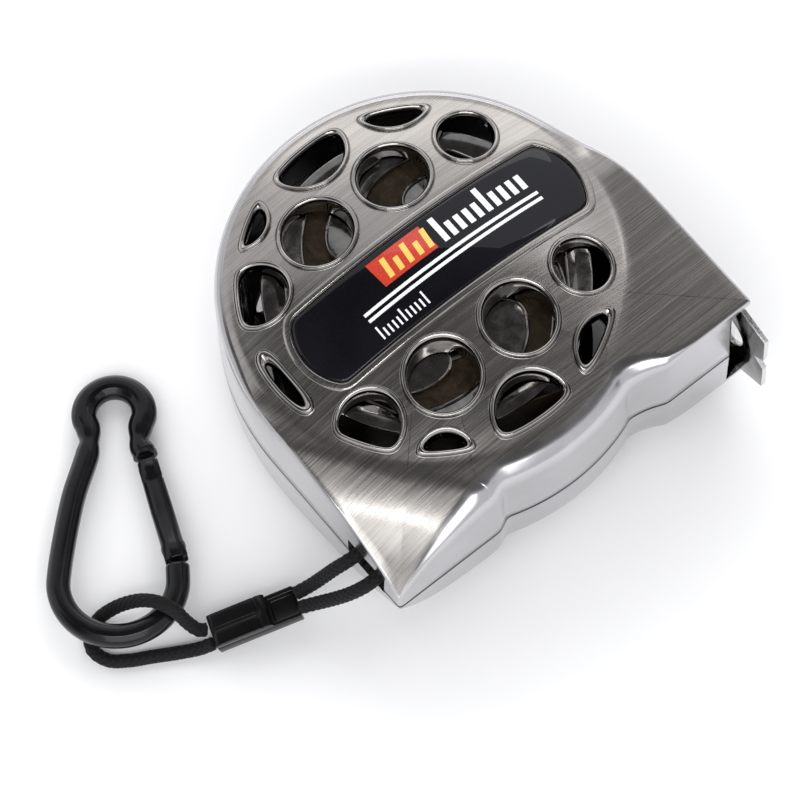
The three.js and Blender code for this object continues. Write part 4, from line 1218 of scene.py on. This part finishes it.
def make_hook():
    """Lip of the end hook, with its notch and nail hole, and the tongue that is riveted on."""
    wide = BLADE_HALF - 0.2
    notch, notch_depth = HOOK_NOTCH
    plate = [
        (HOOK_END, -HOOK_FOOT), (HOOK_END, -notch), (HOOK_END + notch_depth, 0), (HOOK_END, notch),
        (HOOK_END, HOOK_FOOT), (TONGUE[0] - 1.2, wide), (TONGUE[1], wide), (TONGUE[1], -wide),
        (TONGUE[0] - 1.2, -wide),
    ]
    lip = make_piece("end_hook_plate", *edgewise(prism(plate, *HOOK_X)), [STEEL], body=None)
    nail = [(min(TONGUE[1] + y, TONGUE[0] - 0.9), z) for y, z in circle(NAIL_HOLE, 64)]
    carve(lip, edgewise(prism(nail, HOOK_X[0] - 2, HOOK_X[1] + 2)))
    bevel(lip, 0.16, 3, 30)
    # the lip's inner face takes the darker, smoother reel plate finish: painted shade for the dark it
    # reflects
    lip.data.materials.append(FLANGE_PLATE)
    for face in lip.data.polygons:
        if face.normal.x < -0.7:
            face.material_index = 1
    settle(lip, "hook", ("end_hook",))
    tongue = block(HOOK_X[1] - 8.9, HOOK_X[0] + 0.4, TONGUE[0], TONGUE[1], -9, 9)
    foot = make_piece("end_hook_tongue", *tongue, [STEEL], body=None)
    for z in (-4, 4):
        slot = block(RIVET_X - 1.45, RIVET_X + 1.45, TONGUE[0] - 1, TONGUE[1] + 1, z - 0.95, z + 0.95)
        carve(foot, slot)
    bevel(foot, 0.12, 2, 30)
    settle(foot, "hook")


def lathe_y(profile, x, z, sides=32):
    """Turned shape about a line along Y; profile is [radius, y]."""
    rings = [[(x + u, y, z + v) for u, v in circle(r, sides)] for r, y in profile]
    return loft(rings, False, True, True)


def make_rivets():
    """Turned rivets through the blade and the hook's tongue."""
    for i, z in ((1, -4), (2, 4)):
        top, foot = BLADE_Y + 0.2, TONGUE[0] - 0.2
        profile = [
            (0.03, foot - 0.5), (0.9, foot - 0.48), (1.4, foot - 0.36), (1.68, foot - 0.12), (1.7, foot),
            (0.8, foot), (0.8, top), (1.4, top), (1.38, top + 0.2), (1.15, top + 0.38), (0.7, top + 0.48),
            (0.03, top + 0.5),
        ]
        make_piece(
            f"hook_rivet_{i}_turned", *lathe_y(profile, RIVET_X, z), [STEEL], body="blade", slot="steel",
            stands_for=(f"hook_rivet_{i}",),
        )


# ------------------------------------------------------------------ cords
def through(points, spacing=0.15):
    """Centripetal Catmull-Rom line through listed points, as the cord lies."""
    p = [np.array(v, float) for v in points]
    p = [2 * p[0] - p[1]] + p + [2 * p[-1] - p[-2]]
    line = []
    for i in range(1, len(p) - 2):
        a, b, c, d = p[i - 1:i + 3]
        g0, g1, g2 = (max(1e-4, np.linalg.norm(v - u) ** 0.5) for u, v in ((a, b), (b, c), (c, d)))
        m1 = ((b - a) / g0 - (c - a) / (g0 + g1) + (c - b) / g1) * g1
        m2 = ((c - b) / g1 - (d - b) / (g1 + g2) + (d - c) / g2) * g1
        for t in np.linspace(0, 1, 24, endpoint=False):
            line.append(b + m1 * t + (3 * (c - b) - 2 * m1 - m2) * t**2 + (2 * (b - c) + m1 + m2) * t**3)
    line.append(p[-2])
    line = np.array(line)
    length = np.concatenate([[0], np.cumsum(np.linalg.norm(np.diff(line, axis=0), axis=1))])
    at = np.linspace(0, length[-1], int(length[-1] / spacing) + 1)
    return np.column_stack([np.interp(at, length, line[:, k]) for k in range(3)]), length[-1]


def carried_frames(line):
    """A side and an up direction at each point of a line, carried along without twist."""
    along = np.gradient(line, axis=0)
    along /= np.linalg.norm(along, axis=1)[:, None]
    side = np.cross(along[0], (0, 0, 1.0))
    side /= np.linalg.norm(side)
    sides = []
    for t in along:
        side = side - t * (side @ t)
        side = side / np.linalg.norm(side)
        sides.append(side)
    sides = np.array(sides)
    return sides, np.cross(sides, along)


def braid_height(turn, distance):
    """Height of a plaited surface, 0 to 1: two families of strands pass over and under each other."""
    u = 6 * turn + distance / 1.25
    v = 6 * turn - distance / 1.25
    on_top, below = (u, v) if (math.floor(u) + math.floor(v)) % 2 else (v, u)
    return math.sin(math.pi * (on_top % 1)) ** 0.6 * (0.7 + 0.3 * math.sin(math.pi * (below % 1)))


def make_cord(name, route, stands_for):
    """Plaited round cord along a route."""
    line, length = through(route, 0.14)
    side, up = carried_frames(line)
    sides = 54
    rings = []
    for i, point in enumerate(line):
        ring = []
        for k in range(sides):
            a = 2 * math.pi * k / sides
            r = CORD / 2 - 0.2 + 0.24 * braid_height(k / sides, i * length / (len(line) - 1))
            ring.append(tuple(point + r * (math.cos(a) * side[i] + math.sin(a) * up[i])))
        rings.append(ring)
    piece = make_piece(
        name, *loft(rings, False, True, True), [BRAID], sharp=70, body="strap", slot="cord",
        stands_for=stands_for,
    )


# Both cords are laid point by point: the strap's from the clip round the pin and back
STRAP_LOOP = 1.1 + 0.35 + CORD / 2  # the pin, a gap and half the cord
PIN_TURN = [math.radians(a) for a in (65, 32, 0, -32, -65)]
STRAP_ROUTE = [
    (-46.6, -21.5, -12.1), (-45.2, -22.0, -11.4), (-43.6, -22.9, -9.4), (-42.1, -24.0, -6.4),
    (-40.6, -25.1, -3.3), (-38.9, -26.0, -1.2),
    (PIN[0] - 3.4, PIN[1] + STRAP_LOOP, SLOT_Z), (PIN[0] - 1, PIN[1] + STRAP_LOOP, SLOT_Z),
    *[(PIN[0] + STRAP_LOOP * math.cos(a), PIN[1] + STRAP_LOOP * math.sin(a), SLOT_Z) for a in PIN_TURN],
    (PIN[0] - 1, PIN[1] - STRAP_LOOP, SLOT_Z), (PIN[0] - 3.4, PIN[1] - STRAP_LOOP, SLOT_Z),
    (-38.9, -31.4, -1.2), (-40.8, -30.3, -3.3), (-42.6, -28.5, -6.4), (-44.4, -26.5, -9.4),
    (-46.1, -24.9, -11.4), (-47.5, -24.0, -12.1),
]
LOOP_ROUTE = [
    (-61.8, -15.9, -15.4), (-62.8, -15.3, -14.9), (-63.8, -13.8, -12.9), (-64.7, -11.8, -9.7),
    (-65.9, -9.3, -9.0), (-67.4, -7.0, -10.0), (-69.2, -4.9, -12.2), (-71.6, -3.1, -14.9),
    (-74.2, -2.4, -16.6), (-76.9, -3.4, -17.0), (-78.5, -6.1, -17.05), (-77.6, -9.2, -17.05),
    (-75.0, -11.4, -17.05), (-71.5, -13.4, -17.05), (-67.6, -15.7, -17.0), (-64.4, -17.6, -16.4),
    (-62.3, -18.6, -15.5),
]


# ------------------------------------------------------------------ cord clip
def clip_frame():
    """From the clip's own frame, X towards the case and Z out of the lid, to the case's."""
    far, near = Vector(CLIP_FAR), Vector(CLIP_NEAR)
    x = (near - far).normalized()
    y = Vector((-x.y, x.x, 0)).normalized()
    z = x.cross(y)
    return Matrix((x, y, z)).transposed().to_4x4(), (near - far).length


def make_clip():
    """Tray with a trough for the strap's ends, and a rounded cap with a groove along and across."""
    turn, length = clip_frame()
    place = Matrix.Translation(Vector(CLIP_FAR)) @ turn
    half, split, lid_end = 2.9, 0.4, 10.4
    base = make_piece(
        "clip_tray", *placed(block(0, length, -half, half, -2, split - 0.15), place), [CLIP_GLOSS], body=None,
    )
    trough = block(lid_end + 0.3, length + 1, -half + 0.9, half - 0.9, -1.1, 3)
    carve(base, placed(trough, place))
    bevel(base, 0.22, 3, 30)
    settle(base, "strap", ("clip_base",))
    profile = [
        (0, split + 0.15), (0, 1.55), (0.3, 1.85), (0.9, 1.97), (lid_end / 2, 2.0), (lid_end - 1.1, 1.97),
        (lid_end - 0.4, 1.8), (lid_end, 1.2), (lid_end, split + 0.15),
    ]
    lid_shape = prism(profile, -half, half)
    lid_shape = [(x, z, y) for x, y, z in lid_shape[0]], lid_shape[1]
    lid = make_piece("clip_cap", *placed(lid_shape, place), [CLIP_GLOSS], body=None)
    along = block(-1, lid_end - 1.2, -0.22, 0.22, 1.65, 4)
    across = block(lid_end - 2.0, lid_end - 1.7, -4, 4, 1.78, 4)
    for groove in (along, across):
        carve(lid, placed(groove, place))
    bevel(lid, 0.16, 3, 30)
    settle(lid, "strap", ("clip_lid",))


# ------------------------------------------------------------------ snap hook
def snap_place():
    """From the snap hook's frame, X from the small end to the wide end, to the case's."""
    centre = Vector((-49.8, 25.2, -15.6))
    heading = Vector((-0.586, -0.81)).normalized()
    rise = 2.1 / EYES
    flat = math.sqrt(1 - rise**2)
    x = Vector((heading.x * flat, heading.y * flat, rise))
    y = Vector((-heading.y, heading.x, 0))
    return Matrix.Translation(centre) @ Matrix((x, y, x.cross(y))).transposed().to_4x4()


SNAP = snap_place()
GATE_ANGLE = math.atan2(GATE_TO[1] - GATE_FROM[1], GATE_TO[0] - GATE_FROM[0])
GATE_LENGTH = math.hypot(GATE_TO[0] - GATE_FROM[0], GATE_TO[1] - GATE_FROM[1])
GATE = SNAP @ Matrix.Translation((*GATE_FROM, 0)) @ Matrix.Rotation(GATE_ANGLE, 4, "Z")
RIVET_IN = 1.6  # from the gate's end to its rivet


def faceted_section(sides=40):
    """Unit cross-section of the bar: an eight-sided bar with soft corners."""
    return soften(resample(np.array(circle(1.04, 8, math.pi / 8)), 2 * math.pi / sides), 1.1)


def snap_line():
    """Centreline of the bent bar, from the gate's hinge round both ends to its latch."""
    hinge_gap, catch_gap = 0.3 + 0.6 * BAR, 0.3 + 0.25 * BAR
    route = [(GATE_FROM[0] - hinge_gap, RING, 0), (GATE_FROM[0] - hinge_gap - 1.8, RING - 0.9, 0)]
    for i in range(11):
        a = math.radians(60 + i * 24)
        route.append((RING * math.cos(a), RING * math.sin(a), 0))
    route += [(GATE_FROM[0] - 3.4, -RING + 0.7, 0), (EYES * 0.5, (-RING - BOW) / 2 + 0.3, 0)]
    for i in range(11):
        a = math.radians(-103 + i * 20)
        route.append((EYES + BOW * math.cos(a), BOW * math.sin(a), 0))
    route.append((GATE_TO[0] + catch_gap, GATE_TO[1], 0))
    return through(route, 0.3)


def make_snap_frame():
    """The bent bar, with the tang and collar of the gate's hinge and the tongue of its catch."""
    line, length = snap_line()
    section = faceted_section()
    along = np.gradient(line, axis=0)
    along /= np.linalg.norm(along, axis=1)[:, None]
    side = np.column_stack([-along[:, 1], along[:, 0], 0 * along[:, 0]])
    rings = []
    for i, (point, n) in enumerate(zip(line, side)):
        s = i * length / (len(line) - 1)
        x = point[0]
        # the bar is pinched where the small ring meets the legs
        neck = math.exp(-(((x - 5.0) / 1.3) ** 2))
        swell = 0.06 * math.exp(-((x / 5.0) ** 2)) * (x < 6)
        wide = BAR * (0.97 + swell - 0.2 * neck)
        high = BAR * (0.97 - 0.08 * neck)
        end = min(1.0, 0.9 + 0.4 * min(s, length - s))
        rings.append([tuple(point + wide * end * u * n + Vector((0, 0, high * end * v))) for u, v in section])
    make_piece(
        "snap_hook_bar", *placed(loft(rings, False, True, True), SNAP), [ANODISED], sharp=50,
        body="snap_hook", slot="black_paint", stands_for=("snap_frame",),
    )
    tang = block(-2.4, 3.3, -1.5, 1.5, -0.8, 0.8)
    add_to_frame("hinge_tang", tang, 0.2)
    collar = [(BAR * 0.85, -2.1), (BAR * 0.98, -1.95), (BAR * 0.98, -1.25), (BAR * 0.85, -1.1)]
    make_piece(
        "hinge_collar", *placed(lengthwise(collar, circle(1, 40)), GATE), [ANODISED], sharp=35,
        body="snap_hook", slot="black_paint",
    )
    catch = block(GATE_LENGTH - 1.9, GATE_LENGTH + 1.85, -1.2, 1.2, -0.6, 0.6)
    add_to_frame("catch_tongue", catch, 0.15)


def add_to_frame(name, shape, edge):
    """A small bevelled block on the bar, drawn in the gate's frame."""
    piece = make_piece(name, *placed(shape, GATE), [ANODISED], body=None)
    bevel(piece, edge, 3, 30)
    settle(piece, "snap_hook")


def lengthwise(profile, section):
    """A unit section swept along the gate; profile is [radius, x]."""
    rings = [[(x, u * r, v * r) for u, v in section] for r, x in profile]
    return loft(rings, False, True, True)


def make_gate():
    """Gate with a slot at each end, for the hinge tang and the catch tongue, and its rivet."""
    end = GATE_LENGTH
    shares = [
        (0.8, 0.02), (0.93, 0.12), (0.98, 0.4), (0.98, 3.4), (0.9, 3.75), (0.88, 4.3), (0.9, 4.8),
        (0.93, end / 2), (0.93, end - 3.2), (1.0, end - 2.9), (1.0, end - 0.35), (0.95, end - 0.1),
        (0.82, end - 0.02),
    ]
    sleeve = lengthwise([(BAR * share, x) for share, x in shares], faceted_section(48))
    gate = make_piece("snap_hook_gate", *placed(sleeve, GATE), [ANODISED], body=None)
    tang_slot = block(-1, 3.8, -3, 3, -1.1, 1.1)
    tongue_slot = block(end - 2.3, end + 1, -3, 3, -0.9, 0.9)
    for slot in (tang_slot, tongue_slot):
        carve(gate, placed(slot, GATE), 35)
    bevel(gate, 0.1, 2, 45)
    settle(gate, "gate", ("snap_gate",))
    head = [(0.7, 2.0), (0.95, 2.0), (0.95, 2.12), (0.6, 2.28), (0.03, 2.32)]
    rivet = turned([(r, -z) for r, z in reversed(head)] + head, 32)
    make_piece(
        "gate_rivet", *placed(rivet, GATE @ Matrix.Translation((RIVET_IN, 0, 0))), [ANODISED],
        body="snap_hook", slot="black_paint", stands_for=("gate_pin",),
    )


# ------------------------------------------------------------------ carried-over parts
def dress_cad_nodes():
    """Finishes for the CAD nodes that show as they are."""
    for node, material, slot in (
        ("centre_post", PLASTIC, "black_plastic"), ("blade_guide", PLASTIC, "black_plastic"),
        # blade_lead takes the dark coil finish, not its yellow lacquer: painted shade inside the case
        ("strap_pin", STEEL, "steel"), ("blade", MARKED, "blade_coat"), ("blade_lead", COIL_EDGE_SHADE, "blade_coat"),
        ("gate_plunger", STEEL, "steel"), ("gate_spring", SPRING, "steel"),
    ):
        piece = frame["nodes"][node]
        piece.data.materials.clear()
        piece.data.materials.append(material)


# ------------------------------------------------------------------ making
make_camera()
make_studio()

make_snap_frame()
make_gate()
make_clip()
make_cord("strap_braid", STRAP_ROUTE, ("strap_cord",))
make_cord("loop_braid", LOOP_ROUTE, ("loop_cord",))

make_cover("front_shell", 1, ("front_cover",))
make_cover("rear_shell", -1, ("rear_cover",))
make_beads("front_beads", 1)
make_beads("rear_beads", -1)
make_border()
make_badge()
make_print()
TICKS = tick_tree()
TICKS.grow(
    "wide_ticks", seed(), "case", "badge", Count=10, Pitch=1.85 * MM, Left=5.6 * MM, Foot=0.9 * MM,
    Short=3.0 * MM, Long=5.1 * MM, Line=1.05 * MM, Material=WHITE_INK,
)
TICKS.grow(
    "small_ticks", seed(), "case", "badge", Count=11, Pitch=0.95 * MM, Left=-13.4 * MM, Foot=-6.0 * MM,
    Short=1.7 * MM, Long=2.6 * MM, Line=0.34 * MM, Material=WHITE_INK,
)
make_screws()

ROUND = round_tree()
for side, name in ((1, "reel_flange_front"), (-1, "reel_flange_rear")):
    make_flange(name, side)
    make_window_lips(side)
make_hub()
make_windings()
make_hook()
make_rivets()
dress_cad_nodes()
